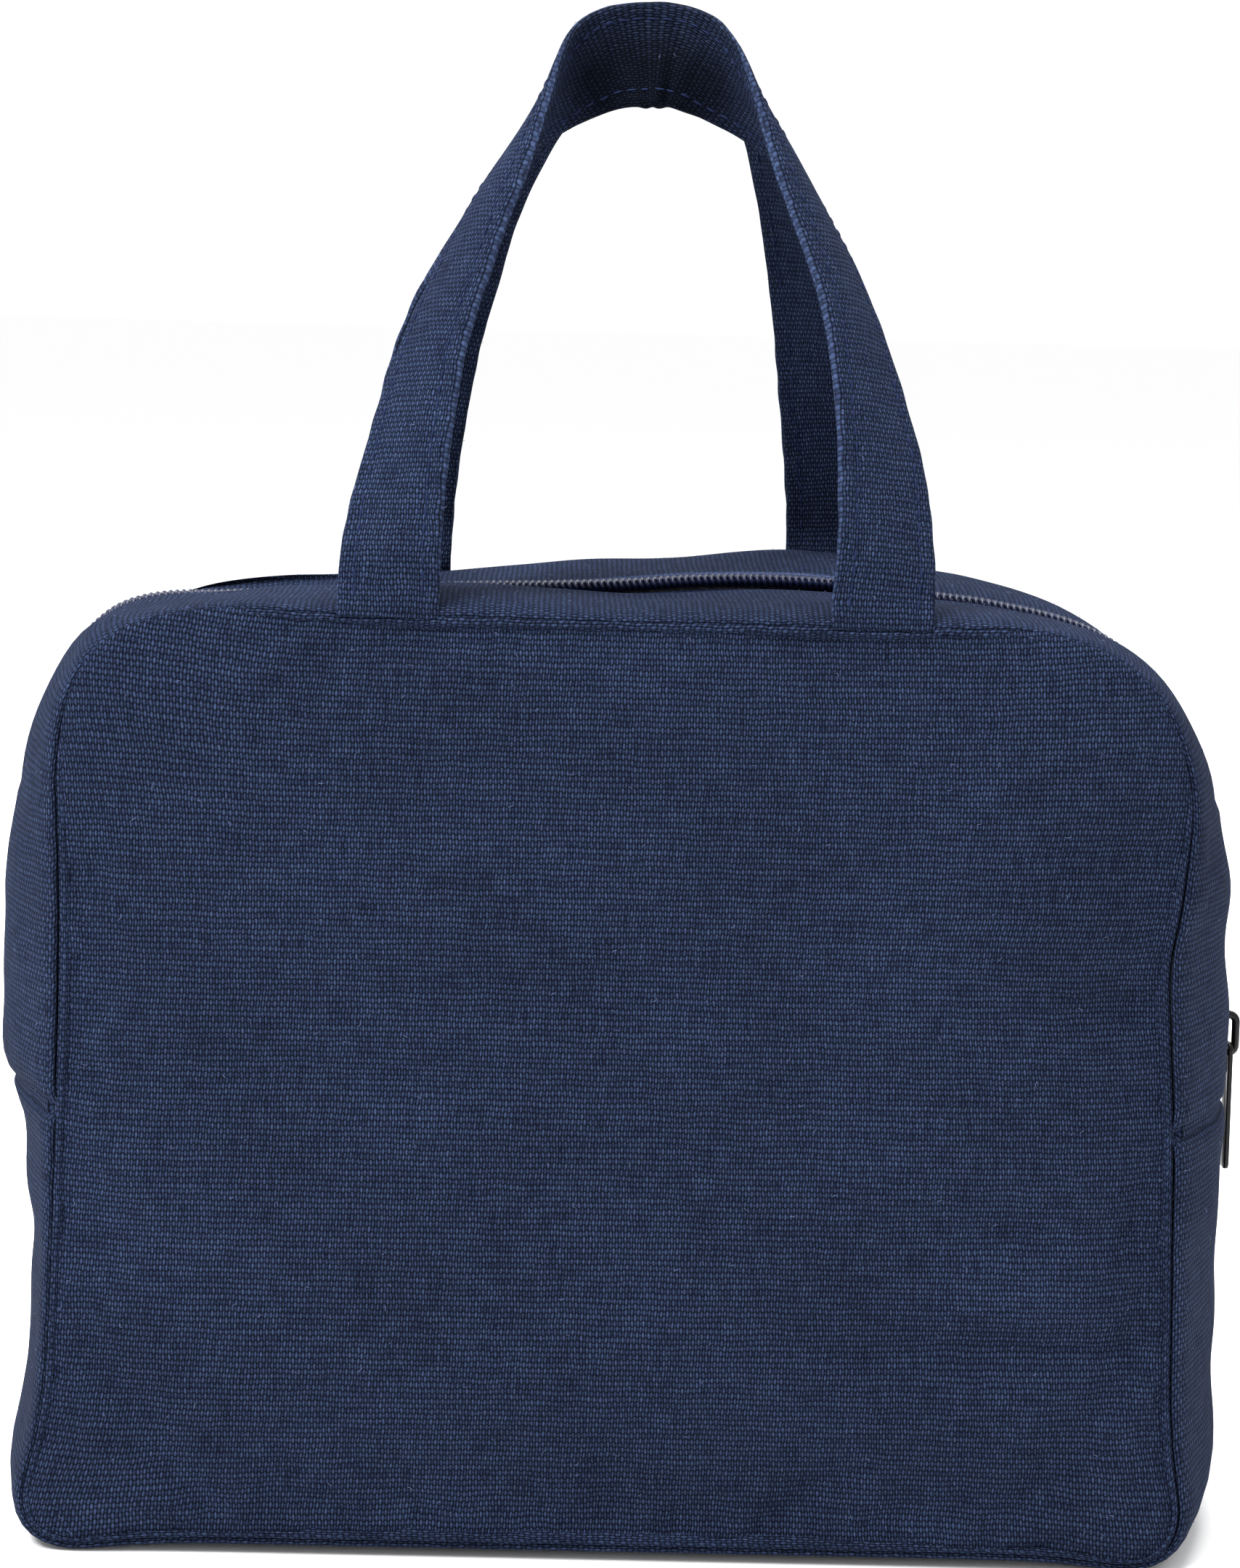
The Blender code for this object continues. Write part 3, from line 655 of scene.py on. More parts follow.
# the top's height over its seams: how the front strip, the zip and the rear strip each lie across
# the depth, and how high each one stands along the width
topProfile = {
    "y": (-50, -44, -36, -24, -9, -4, 0, 4, 10, 20, 33, 43, 50),
    "front": (0, 0.6, 1, 1, 1, 0.9, 0.3, 0, 0, 0, 0, 0, 0),
    "zip": (0, 0, 0, 0, 0, 0.1, 0.7, 1, 0.6, 0.25, 0, 0, 0),
    "rear": (0, 0, 0, 0, 0, 0, 0, 0, 0.4, 0.75, 1, 0.75, 0),
    "extra": (0, 0.7, 0.9, 0.5, 0, 0, 0, 0, 0, 0, 0, 0, 0),
    "x": (-95, -80, -67, -50, -36, -16, 0, 12, 22, 40, 61, 76, 90),
    "frontLift": (0.5, -1.2, -0.2, 1.3, 2.2, 1.5, 0.6, 1.2, 1.9, 1.9, 1.0, -0.4, 0.0),
    "zipLift": (0, -2.8, -2.6, -1.2, 0.2, 1.6, 3.2, 4.4, 4.8, 4.4, 1.2, -0.6, -0.4),
    "rearLift": (0, -3.4, -3.2, -1.2, 1.4, 3.0, 4.6, 5.8, 6.8, 7.4, 4.6, 1.8, 1.4),
}
# the sides' swell across the depth, as a share, and its size at heights up each side
sideProfile = {
    "y": (0, 12, 20, 28, 36, 42, 46, 48.5, 50),
    "share": (1, 1, 0.96, 0.83, 0.6, 0.37, 0.21, 0.09, 0),
}
sideSwell = {
    "height": (0, 14, 33, 48, 58, 67, 74, 77, 81, 89, 100, 112, 125, 180),
    "right": (14.4, 14.4, 14.4, 14.4, 14.8, 15.4, 16.2, 16.6, 16.6, 16.5, 17.2, 17.2, 15.8, 15.4),
    "left": (9.0, 7.6, 7.2, 7.0, 7.6, 8.9, 10.2, 11.0, 12.8, 14.8, 15.4, 15.4, 14.8, 14.6),
}
# how the side's swell fades round an upper corner, by the angle from level
cornerFade = {
    "angle": (-30, -14, 0, 8, 15, 27, 38, 48, 60, 75, 90),
    "share": (1, 0.95, 0.79, 0.69, 0.6, 0.44, 0.3, 0.18, 0.07, 0.01, 0),
}
zipRecess = {"level": 15.4 * mm, "halfWidth": 11 * mm}


def gussetOffset(x, z, nx, nz, y):
    # how far the gusset's face stands out from the seam outline
    depth = np.abs(y) / mm
    right = through(sideSwell["height"], sideSwell["right"], z / mm)
    left = through(sideSwell["height"], sideSwell["left"], z / mm)
    level = np.where(nx > 0.0, right, left) * mm
    hollow = 1.0 - ease((np.abs(y) - 3 * mm) / zipRecess["halfWidth"])
    hollow = hollow * np.where(z > shell["crossSeam"] - 6 * mm, 1.0, 0.0)
    side = level * through(sideProfile["y"], sideProfile["share"], depth)
    side = side - np.maximum(level - zipRecess["level"], 0.0) * hollow
    top = through(topProfile["y"], topProfile["extra"], y / mm) * mm
    for part in ("front", "zip", "rear"):
        lift = through(topProfile["x"], topProfile[part + "Lift"], x / mm)
        top = top + lift * through(topProfile["y"], topProfile[part], y / mm) * mm
    base = shell["bottom"] * (1.0 - (depth / 50) ** 10)
    upward = np.where(nz > 0.0, 1.0, 0.0)
    turned = np.degrees(np.arccos(np.clip(np.abs(nx), 0.0, 1.0)))
    below = (z - (shell["top"] - shell["topRadius"])) / mm * 1.5
    turned = np.where(np.abs(nx) > 0.9999, np.minimum(below, 0.0), turned)
    share = through(cornerFade["angle"], cornerFade["share"], turned)
    share = share * np.where((nx > 0.0) & (turned > -30), 1.0 - 0.2 * ease((turned + 25) / 35), 1.0)
    share = np.where(z > shell["crossSeam"] - 1 * mm, share, np.abs(nx) ** 3)
    flat = top * upward + base * (1.0 - upward)
    soft = 0.35 * mm * ripples(x + 2.0 * z, y, 31, 38 * mm) * np.where(nz < -0.3, 0.0, 1.0)
    fades = ease((shell["halfDepth"] - np.abs(y)) / (12 * mm)) * ease((np.abs(y) - 2 * mm) / (8 * mm))
    return side * share + flat * (1.0 - share) + soft * fades


def bandPoints(path, normals, y, depth):
    # points of a gusset layer: path stations by depth lines
    x, z = path[:, :1], path[:, 1:]
    nx, nz = normals[:, :1], normals[:, 1:]
    across = np.asarray(y)[None, :] + 0.0 * x
    out = gussetOffset(x + 0 * across, z + 0 * across, nx + 0 * across, nz + 0 * across, across) - depth
    return np.stack([x + nx * out, across, z + nz * out], -1)


def seamRoll(y):
    edge = shell["halfDepth"] - np.abs(y)
    return gusset["seamRoll"] / gusset["seamRollWidth"] * lip(edge, gusset["seamRollWidth"])


def closer(first, last, count, ends):
    # positions between two ends, closer together near the ends named
    t = np.linspace(0.0, 1.0, count)
    if ends == "both":
        t = (1.0 - np.cos(t * math.pi)) / 2.0
    elif ends == "first":
        t = 1.0 - np.cos(t * math.pi / 2.0)
    return first + (last - first) * t


def bandUv(distances, y, start=0.0):
    v, u = np.meshgrid(distances + start, y, indexing="ij")
    return np.stack([u, v], -1)


def crossSeamTuck(z, normals):
    # at its ends a gusset turns in to its cross seam
    reach = 4.5 * mm
    distance = np.abs(z - shell["crossSeam"])
    flatEnd = np.abs(normals[:, 0]) > 0.99
    return np.where(flatEnd, lip(distance, reach) * 0.5, 0.0)[:, None]


upperPieces, lowerPieces = outlinePieces()
upperPath = walk(upperPieces, gusset["spacing"])
lowerPath = walk(lowerPieces, gusset["spacing"])


def finishBand(piece, side, nodes):
    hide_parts(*nodes)
    if side:
        foldWith(piece)
    else:
        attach(piece, "body")


def bandLayer(name, band, y, top, bottom, material):
    # one layer of a gusset, between two depths under its face
    path, normals, along = band
    outer = settle(bandPoints(path, normals, y, top))
    inner = settle(bandPoints(path, normals, y, bottom))
    return gridSolid(name, outer, inner, bandUv(along, y), material)


def buildStrip(side, sign):
    path, normals, along = upperPath
    tuck = crossSeamTuck(path[:, 1], normals)
    inner, outer = layers["canvas"]
    y = closer(gusset["stripEdge"], gusset["edge"], 34, "both")
    edgeLip = lip(y - gusset["stripEdge"], (outer - inner) / 2)
    sy = sign * y
    face = bandPoints(path, normals, sy, edgeLip + seamRoll(sy) + tuck)
    under = bandPoints(path, normals, sy, outer - edgeLip + seamRoll(sy) + tuck)
    wear = np.broadcast_to(np.exp(-(((y - gusset["stripEdge"]) / (0.5 * mm)) ** 2)), face.shape[:2])
    strip = gridSolid(
        side + "ZipStrip", settle(face), settle(under), bandUv(along, sy), bodyCanvas, wear=wear.copy()
    )
    finishBand(strip, side, [side + "_zip_strip"])

    y = closer(*gusset["foam"], 14, "both")
    sy = sign * y
    top, bottom = layers["foam"]
    foamLip = lip(y - gusset["foam"][0], (bottom - top) / 2)
    top, bottom = top + foamLip + seamRoll(sy), bottom - foamLip + seamRoll(sy)
    foam = bandLayer(side + "StripFoam", upperPath, sy, top, bottom, foamMaterial)
    finishBand(foam, side, [side + "_strip_foam"])

    y = closer(*gusset["lining"], 14, "both")
    top, bottom = layers["lining"]
    wave = 0.075 * mm * ripples(along[:, None], y[None, :], 44, 16 * mm)
    lining = bandLayer(side + "StripLining", upperPath, sign * y, top + wave, bottom + wave, liningMaterial)
    finishBand(lining, side, [side + "_strip_lining"])

    y = closer(*gusset["tape"], 9, "first")
    tape = bandLayer(side + "ZipTape", upperPath, sign * y, *layers["tape"], tapeMaterial)
    finishBand(tape, side, [side + "_zip_tape"])


def buildLowerGusset():
    path, normals, along = lowerPath
    tuck = crossSeamTuck(path[:, 1], normals)
    y = closer(-gusset["edge"], gusset["edge"], 64, "both")
    face = bandPoints(path, normals, y, seamRoll(y) + tuck)
    under = bandPoints(path, normals, y, layers["canvas"][1] + seamRoll(y) + tuck)
    laid = bandUv(along, y, gusset["weaveStart"])
    outerSkin = gridSolid("lowerGusset", settle(face), settle(under), laid, bodyCanvas)
    finishBand(outerSkin, None, ["lower_gusset"])

    y = closer(-gusset["foam"][1], gusset["foam"][1], 24, "both")
    top, bottom = (depth + seamRoll(y) for depth in layers["foam"])
    foam = bandLayer("lowerGussetFoam", lowerPath, y, top, bottom, foamMaterial)
    finishBand(foam, None, ["lower_gusset_foam"])

    y = closer(-gusset["lining"][1], gusset["lining"][1], 24, "both")
    wave = 0.15 * mm * ripples(along[:, None], y[None, :], 52, 16 * mm)
    top, bottom = (depth + wave for depth in layers["lining"])
    lining = bandLayer("lowerGussetLining", lowerPath, y, top, bottom, liningMaterial)
    finishBand(lining, None, ["lower_gusset_lining"])


binding = {"inset": 7.2 * mm, "outer": 43.4 * mm, "width": 3.2 * mm, "thickness": 2.2 * mm}


def buildBinding(side, sign):
    # woven tape folded over the raw seam, all the way round inside
    loop = outlinePieces()
    path, normals, along = walk(loop[0] + loop[1], gusset["spacing"])
    half = binding["width"] / 2
    y = closer(-half, half, 9, "both")
    curve = binding["thickness"] / 2 * np.sqrt(np.maximum(1.0 - (y / half) ** 2, 0.0))
    middle = sign * (binding["outer"] - half)
    points = []
    for lift in (curve, -curve):
        out = -binding["inset"] - binding["thickness"] / 2 + lift[None, :] + 0.0 * path[:, :1]
        x, z = path[:, :1] + normals[:, :1] * out, path[:, 1:] + normals[:, 1:] * out
        points.append(settle(np.stack([x, middle + y[None, :] + 0.0 * out, z], -1)))
    tape = gridSolid(side + "Binding", *points, bandUv(along, y), bindingMaterial)
    finishBand(tape, side, [side + "_binding_lower", side + "_binding_upper"])


seamAllowance = {"outer": 1.1 * mm, "inner": 5.4 * mm, "thickness": 2.2 * mm}


def buildSeamAllowance(side, sign):
    # the raw edges of wall and gusset, sewn face to face and turned in towards the binding
    loop = outlinePieces()
    path, normals, along = walk(loop[0] + loop[1], gusset["spacing"])
    steps = np.linspace(seamAllowance["outer"], seamAllowance["inner"], 6)
    half = seamAllowance["thickness"] / 2 * math.sqrt(0.5)
    faces = []
    for shift in (half, -half):
        depth = steps - shift
        y = sign * (shell["halfDepth"] - steps - shift)
        out = -depth[None, :] + 0.0 * path[:, :1]
        x, z = path[:, :1] + normals[:, :1] * out, path[:, 1:] + normals[:, 1:] * out
        faces.append(settle(np.stack([x, y[None, :] + 0.0 * out, z], -1)))
    made = gridSolid(side + "SeamAllowance", *faces, bandUv(along, steps), bodyCanvas)
    foldWith(made)


def buildCrossSeam(name, way):
    # the turned-in ends of the zip strips and the lower gusset, sewn across the bag's side
    y = np.linspace(-47 * mm, 47 * mm, 60)
    z = shell["crossSeam"] + np.array([-1.5, -0.5, 0.5, 1.5]) * mm
    yy, zz = np.meshgrid(y, z, indexing="ij")
    grids = []
    for depth in (1.2 * mm, 5.2 * mm):
        out = gussetOffset(way * shell["halfWidth"] + 0 * yy, zz, way + 0 * yy, 0 * yy, yy) - depth
        grids.append(settle(np.stack([way * (shell["halfWidth"] + out), yy, zz], -1)))
    made = gridSolid(name, grids[0], grids[1], np.stack([yy, zz], -1), bodyCanvas)
    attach(made, "body")


for sideName, sideSign in (("front", -1), ("rear", 1)):
    buildStrip(sideName, sideSign)
    buildBinding(sideName, sideSign)
    buildSeamAllowance(sideName, sideSign)
buildLowerGusset()
buildCrossSeam("rightCrossSeam", 1)
buildCrossSeam("leftCrossSeam", -1)
print("gussets made")

# things that repeat along a path or a surface

def newTree(name, inputs):
    tree = bpy.data.node_groups.new(name, "GeometryNodeTree")
    tree.interface.new_socket("Geometry", in_out="INPUT", socket_type="NodeSocketGeometry")
    for label, kind, value in inputs:
        socket = tree.interface.new_socket(label, in_out="INPUT", socket_type="NodeSocket" + kind)
        if value is not None:
            socket.default_value = value
    tree.interface.new_socket("Geometry", in_out="OUTPUT", socket_type="NodeSocketGeometry")
    return tree, tree.nodes.new("NodeGroupInput").outputs, tree.nodes.new("NodeGroupOutput")


def finishTree(tree, copies, given, result):
    real = addNode(tree, "GeometryNodeRealizeInstances", {"Geometry": copies.outputs[0]}).outputs[0]
    done = addNode(tree, "GeometryNodeSetMaterial", {"Geometry": real, "Material": given["Finish"]})
    tree.links.new(done.outputs[0], result.inputs["Geometry"])


def rowTree():
    # copies of a piece along a path, turned to the path and to its outward direction
    tree, given, result = newTree(
        "rowAlongPath",
        [("Piece", "Object", None), ("Spacing", "Float", 1 * mm), ("Finish", "Material", None)],
    )
    curve = addNode(tree, "GeometryNodeMeshToCurve", {"Mesh": given["Geometry"]})
    even = addNode(
        tree,
        "GeometryNodeResampleCurve",
        {"Curve": curve.outputs[0], "Length": given["Spacing"]},
        mode="LENGTH",
    )
    tangent = addNode(tree, "GeometryNodeInputTangent")
    outward = addNode(tree, "GeometryNodeInputNamedAttribute", {"Name": "outward"}, data_type="FLOAT_VECTOR")
    lengthwise = addNode(tree, "FunctionNodeAlignRotationToVector", {"Vector": tangent.outputs[0]}, axis="X")
    turned = addNode(
        tree,
        "FunctionNodeAlignRotationToVector",
        {"Rotation": lengthwise.outputs[0], "Vector": outward.outputs["Attribute"]},
        axis="Z",
        pivot_axis="X",
    )
    piece = addNode(tree, "GeometryNodeObjectInfo", {"Object": given["Piece"], "As Instance": True})
    copies = addNode(
        tree,
        "GeometryNodeInstanceOnPoints",
        {"Points": even.outputs[0], "Instance": piece.outputs["Geometry"], "Rotation": turned.outputs[0]},
    )
    finishTree(tree, copies, given, result)
    return tree


def scatterTree():
    # loose fibres over a surface, more of them where it is worn
    tree, given, result = newTree(
        "looseFibres",
        [
            ("Piece", "Object", None),
            ("Density", "Float", 1000.0),
            ("Worn Density", "Float", 0.0),
            ("Smallest", "Float", 0.5),
            ("Largest", "Float", 1.5),
            ("Seed", "Int", 3),
            ("Finish", "Material", None),
        ],
    )
    wear = addNode(tree, "GeometryNodeInputNamedAttribute", {"Name": "wear"}, data_type="FLOAT")
    extra = addNode(
        tree,
        "ShaderNodeMath",
        {0: wear.outputs["Attribute"], 1: given["Worn Density"], 2: given["Density"]},
        operation="MULTIPLY_ADD",
    )
    spots = addNode(
        tree,
        "GeometryNodeDistributePointsOnFaces",
        {"Mesh": given["Geometry"], "Density": extra.outputs[0], "Seed": given["Seed"]},
    )
    spin = addNode(
        tree,
        "FunctionNodeRandomValue",
        {0: (-0.5, -0.5, 0.0), 1: (0.5, 0.5, math.tau), "Seed": given["Seed"]},
        data_type="FLOAT_VECTOR",
    )
    turned = addNode(
        tree,
        "FunctionNodeRotateRotation",
        {"Rotation": spots.outputs["Rotation"], "Rotate By": spin.outputs[0]},
        rotation_space="LOCAL",
    )
    size = addNode(
        tree,
        "FunctionNodeRandomValue",
        {2: given["Smallest"], 3: given["Largest"], "Seed": given["Seed"]},
        data_type="FLOAT",
    )
    piece = addNode(tree, "GeometryNodeObjectInfo", {"Object": given["Piece"], "As Instance": True})
    copies = addNode(
        tree,
        "GeometryNodeInstanceOnPoints",
        {
            "Points": spots.outputs["Points"],
            "Instance": piece.outputs["Geometry"],
            "Rotation": turned.outputs[0],
            "Scale": size.outputs[1],
        },
    )
    finishTree(tree, copies, given, result)
    return tree


def runTree(name, source, tree, **inputs):
    # puts a tree on a copy of the source mesh and keeps its result as a plain mesh
    carrier = bpy.data.objects.new(name + "Carrier", source)
    scene.collection.objects.link(carrier)
    step = carrier.modifiers.new("nodes", "NODES")
    step.node_group = tree
    sockets = {item.name: item.identifier for item in tree.interface.items_tree if item.in_out == "INPUT"}
    for label, value in inputs.items():
        step[sockets[label.replace("_", " ")]] = value
    bpy.context.view_layer.update()
    shown = carrier.evaluated_get(bpy.context.evaluated_depsgraph_get())
    mesh = bpy.data.meshes.new_from_object(shown)
    bpy.data.objects.remove(carrier)
    mesh.name = name
    made = bpy.data.objects.new(name, mesh)
    scene.collection.objects.link(made)
    return made


def pathMesh(points, outward, breaks=()):
    # a polyline with the direction that faces out at each point
    mesh = bpy.data.meshes.new("path")
    edges = [(k, k + 1) for k in range(len(points) - 1) if k not in breaks]
    mesh.from_pydata(np.asarray(points).tolist(), edges, [])
    mesh.attributes.new("outward", "FLOAT_VECTOR", "POINT")
    mesh.attributes["outward"].data.foreach_set("vector", np.asarray(outward, np.float32).reshape(-1))
    return mesh


def tubeMesh(name, points, radii, sides, closed):
    # a small tube round a few points, for pieces that are repeated many times
    points = [Vector(p) for p in points]
    count = len(points)
    rings = bmesh.new()
    found = []
    side = Vector((0, 1, 0))
    for k, point in enumerate(points):
        before = points[k - 1] if (k or closed) else point
        after = points[(k + 1) % count] if (k + 1 < count or closed) else point
        along = (after - before).normalized()
        first = side.cross(along)
        first = first.normalized() if first.length > 1e-6 else Vector((0, 0, 1))
        second = along.cross(first)
        ring = []
        for m in range(sides):
            angle = math.tau * m / sides
            away = first * math.cos(angle) + second * math.sin(angle)
            ring.append(rings.verts.new(point + away * radii[k]))
        found.append(ring)
    for k in range(count if closed else count - 1):
        a, b = found[k], found[(k + 1) % count]
        for m in range(sides):
            rings.faces.new((a[m], a[(m + 1) % sides], b[(m + 1) % sides], b[m]))
    if not closed:
        rings.faces.new(found[0][::-1])
        rings.faces.new(found[-1])
    bmesh.ops.recalc_face_normals(rings, faces=rings.faces)
    mesh = bpy.data.meshes.new(name)
    rings.to_mesh(mesh)
    rings.free()
    mesh.shade_smooth()
    made = bpy.data.objects.new(name, mesh)
    scene.collection.objects.link(made)
    made.hide_render = True
    return made


rows = rowTree()
scatter = scatterTree()

# the zip's coils

coil = {
    "pitch": 1.3 * mm,
    "reach": 3.3 * mm,
    "past": 0.35 * mm,  # how far each tooth's head crosses the middle
    "wire": 0.42 * mm,
    "rise": 0.75 * mm,
    "seat": 0.2 * mm,
}


def toothShape():
    # one turn of the coil: over the top to a rounded head at the middle and back under
    steps = 10
    middle = (coil["reach"] - coil["past"]) / 2
    half = (coil["reach"] + coil["past"]) / 2
    points = []
    radii = []
    for k in range(steps):
        angle = math.tau * k / steps
        across = middle + half * math.cos(angle)
        lift = coil["rise"] * math.sin(angle)
        shift = coil["pitch"] * 0.25 * math.sin(angle)
        points.append((shift, across, lift))
        radii.append(coil["wire"] * (1.25 if math.cos(angle) < -0.7 else 1.0))
    return tubeMesh("toothShape", points, radii, 5, True)


def buildCoil(side):
    path, normals, along = upperPath
    fine = np.arange(0.0, along[-1] - 1 * mm, 1.0 * mm) + 0.8 * mm
    spots = np.stack([np.interp(fine, along, path[:, k]) for k in range(2)], -1)
    faces = np.stack([np.interp(fine, along, normals[:, k]) for k in range(2)], -1)
    faces /= np.linalg.norm(faces, axis=1, keepdims=True)
    depth = layers["canvas"][1] - coil["seat"] - coil["rise"]
    middle = settle(bandPoints(spots, faces, np.array([0.0]), depth)[:, 0])
    if side == "rear":
        middle = middle[::-1]
        faces = faces[::-1]
    outward = np.stack([faces[:, 0], 0 * faces[:, 0], faces[:, 1]], -1)
    line = pathMesh(middle, outward)
    tooth = toothShape()
    made = runTree(side + "ZipCoil", line, rows, Piece=tooth, Spacing=coil["pitch"], Finish=nylonMaterial)
    bpy.data.objects.remove(tooth)
    finishBand(made, side, [side + "_zip_coil"])


for sideName in ("front", "rear"):
    buildCoil(sideName)
print("zip coils made")

# the handles

strap = {
    "width": 19.2 * mm,
    "thickness": 2.4 * mm,
    "halfSpread": 46 * mm,
    "lean": math.radians(22),
    "start": 2.6 * mm,
    "sewnIn": 2.4 * mm,  # how far the foot runs down into the seam
    "tuck": 2.6 * mm,
    "archPower": 1 / 0.9,
    "steps": 240,
    "columns": 24,
    "stitchInset": 3.2 * mm,
    "stitchPitch": 3.0 * mm,
    "groove": 0.22 * mm,
}
handleShapes = {
    "front": {
        "rise": 115.4 * mm,
        "drift": 2.5 * mm,
        # how far the strap has turned on edge by each share of the way up, in degrees
        "turn": [(0, 0), (0.2, 30), (0.4, 51), (0.65, 74), (0.8, 110), (0.92, 150), (1, 166)],
        # small shifts towards +X up the left leg and up the right leg, in mm
        "left": [(0, 0), (0.3, 0.3), (0.5, 0.8), (0.7, 0), (0.85, -0.9), (1, -1.0)],
        "right": [(0, 0.5), (0.2, 1.8), (0.35, 1.4), (0.5, 0), (0.65, -0.9), (0.85, -1.7), (1, -1.0)],
        "gripSag": 1.8 * mm,
        "creases": [(-4.5, 1.1), (3.2, 0.9), (11, 0.5)],  # places along the grip and depths, in mm
    },
    "rear": {
        "rise": 116 * mm,
        "drift": 1.0 * mm,
        "turn": [(0, 0), (0.25, 12), (0.4, 34), (0.52, 54), (0.65, 64), (0.8, 72), (0.92, 84), (1, 90)],
        "left": [(0, -1.2), (0.3, -0.6), (0.5, 1.0), (0.7, 2.2), (0.85, 2.4), (1, 2.0)],
        "right": [(0, -1.8), (0.3, -1.8), (0.5, -0.8), (0.7, 2.4), (0.85, 3.6), (1, 2.0)],
        "gripSag": 0.0,
        "creases": [(0, 0.6)],
    },
}
strapCurl = [(0, 0), (0.35, 1), (0.65, 2.2), (0.85, 1.6), (1, 1)]


def strapFrames(side):
    # centre line, across and face directions of a handle from foot to foot, on the frame's hinge line
    shape = handleShapes[side]
    sign = -1 if side == "front" else 1
    hinge = [j for j in frame["joints"] if j["name"] == side + "_handle_swing"][0]["pos_m"]
    up = np.array([0.0, -sign * math.sin(strap["lean"]), math.cos(strap["lean"])])
    out = np.array([0.0, sign * math.cos(strap["lean"]), math.sin(strap["lean"])])
    angle = np.linspace(0.0, math.pi, strap["steps"] + 1)
    rise = strap["start"] + (shape["rise"] - strap["start"]) * np.sin(angle) ** strap["archPower"]
    across = strap["halfSpread"] * np.cos(angle) + shape["drift"] * (rise / shape["rise"]) ** 2
    climb = 1.0 - np.abs(np.linspace(-1.0, 1.0, len(angle)))
    shifts = [through(*zip(*shape[leg]), climb) for leg in ("left", "right")]
    across = across + np.where(np.cos(angle) < 0.0, shifts[0], shifts[1]) * mm
    centre = np.array(hinge) + across[:, None] * np.array([1.0, 0, 0]) + rise[:, None] * up
    # the ends run in behind the wall's top edge
    tuck = strap["tuck"] * (1.0 - ease((rise - strap["start"]) / (9 * mm)))
    centre[:, 1] -= sign * tuck
    foot = np.array([[across[0], hinge[1] - sign * strap["tuck"], hinge[2] - strap["sewnIn"]]])
    otherFoot = foot.copy()
    otherFoot[0, 0] = across[-1]
    centre = np.concatenate([foot, centre, otherFoot])
    rounding = 0.05
    share = np.hypot(1.0, rounding) - np.hypot(np.linspace(-1.0, 1.0, len(centre)), rounding)
    share = share / share.max()
    along = np.gradient(centre, axis=0)
    along /= np.linalg.norm(along, axis=1, keepdims=True)
    inward = np.cross(along, out) * sign
    inward /= np.linalg.norm(inward, axis=1, keepdims=True)
    tilt = np.radians(through(*zip(*shape["turn"]), share))[:, None]
    curl = through(*zip(*strapCurl), share) * mm
    acrossDir = inward * np.cos(tilt) + out * np.sin(tilt)
    faceDir = out * np.cos(tilt) - inward * np.sin(tilt)
    length = np.concatenate([[0.0], np.cumsum(np.linalg.norm(np.diff(centre, axis=0), axis=1))])
    return centre, acrossDir, faceDir, curl, length, share


def strapSurface(side, w, outer):
    # points of the strap's face or back at places w from -1 to 1 across it
    centre, acrossDir, faceDir, curl, length, share = strapFrames(side)
    half = strap["thickness"] / 2
    w = np.asarray(w)[None, :]
    fromEdge = (1.0 - np.abs(w)) * strap["width"] / 2
    stitch = np.exp(-(((fromEdge - strap["stitchInset"]) / (0.7 * mm)) ** 2)) * strap["groove"]
    body = half - lip(fromEdge, half) - stitch * np.ones_like(length)[:, None]
    body = np.maximum(body, 0.0)
    # soft creases across the strap where it doubles over at the top
    top = ease((share[:, None] - 0.86) / 0.1)
    crease = 0.5 * mm * ripples(length[:, None], w * 6 * mm, 61, 14 * mm) * top
    for place, depth in handleShapes[side]["creases"]:
        folded = (length[:, None] - length[-1] / 2) / mm - place - 1.2 * w
        crease = crease + depth * mm * np.exp(-((folded / 1.5) ** 2)) * top
    uneven = 0.25 * mm * ripples(length[:, None], w * strap["width"] / 2, 62, 26 * mm)
    bow = curl[:, None] * (0.5 - w * w) + crease + uneven
    lift = bow + (body if outer else -body)
    edge = w * strap["width"] / 2 + 0.12 * mm * ripples(length[:, None], w, 63, 9 * mm)
    points = centre[:, None] + acrossDir[:, None] * edge[..., None] + faceDir[:, None] * lift[..., None]
    # the lower edge of the grip sags flat where the strap doubles over
    flatten = handleShapes[side]["gripSag"] * np.exp(-((1.0 - share[:, None]) ** 2) / 0.07**2)
    points[..., 2] -= flatten * ((1.0 - w) / 2) ** 1.5
    return points, faceDir, length


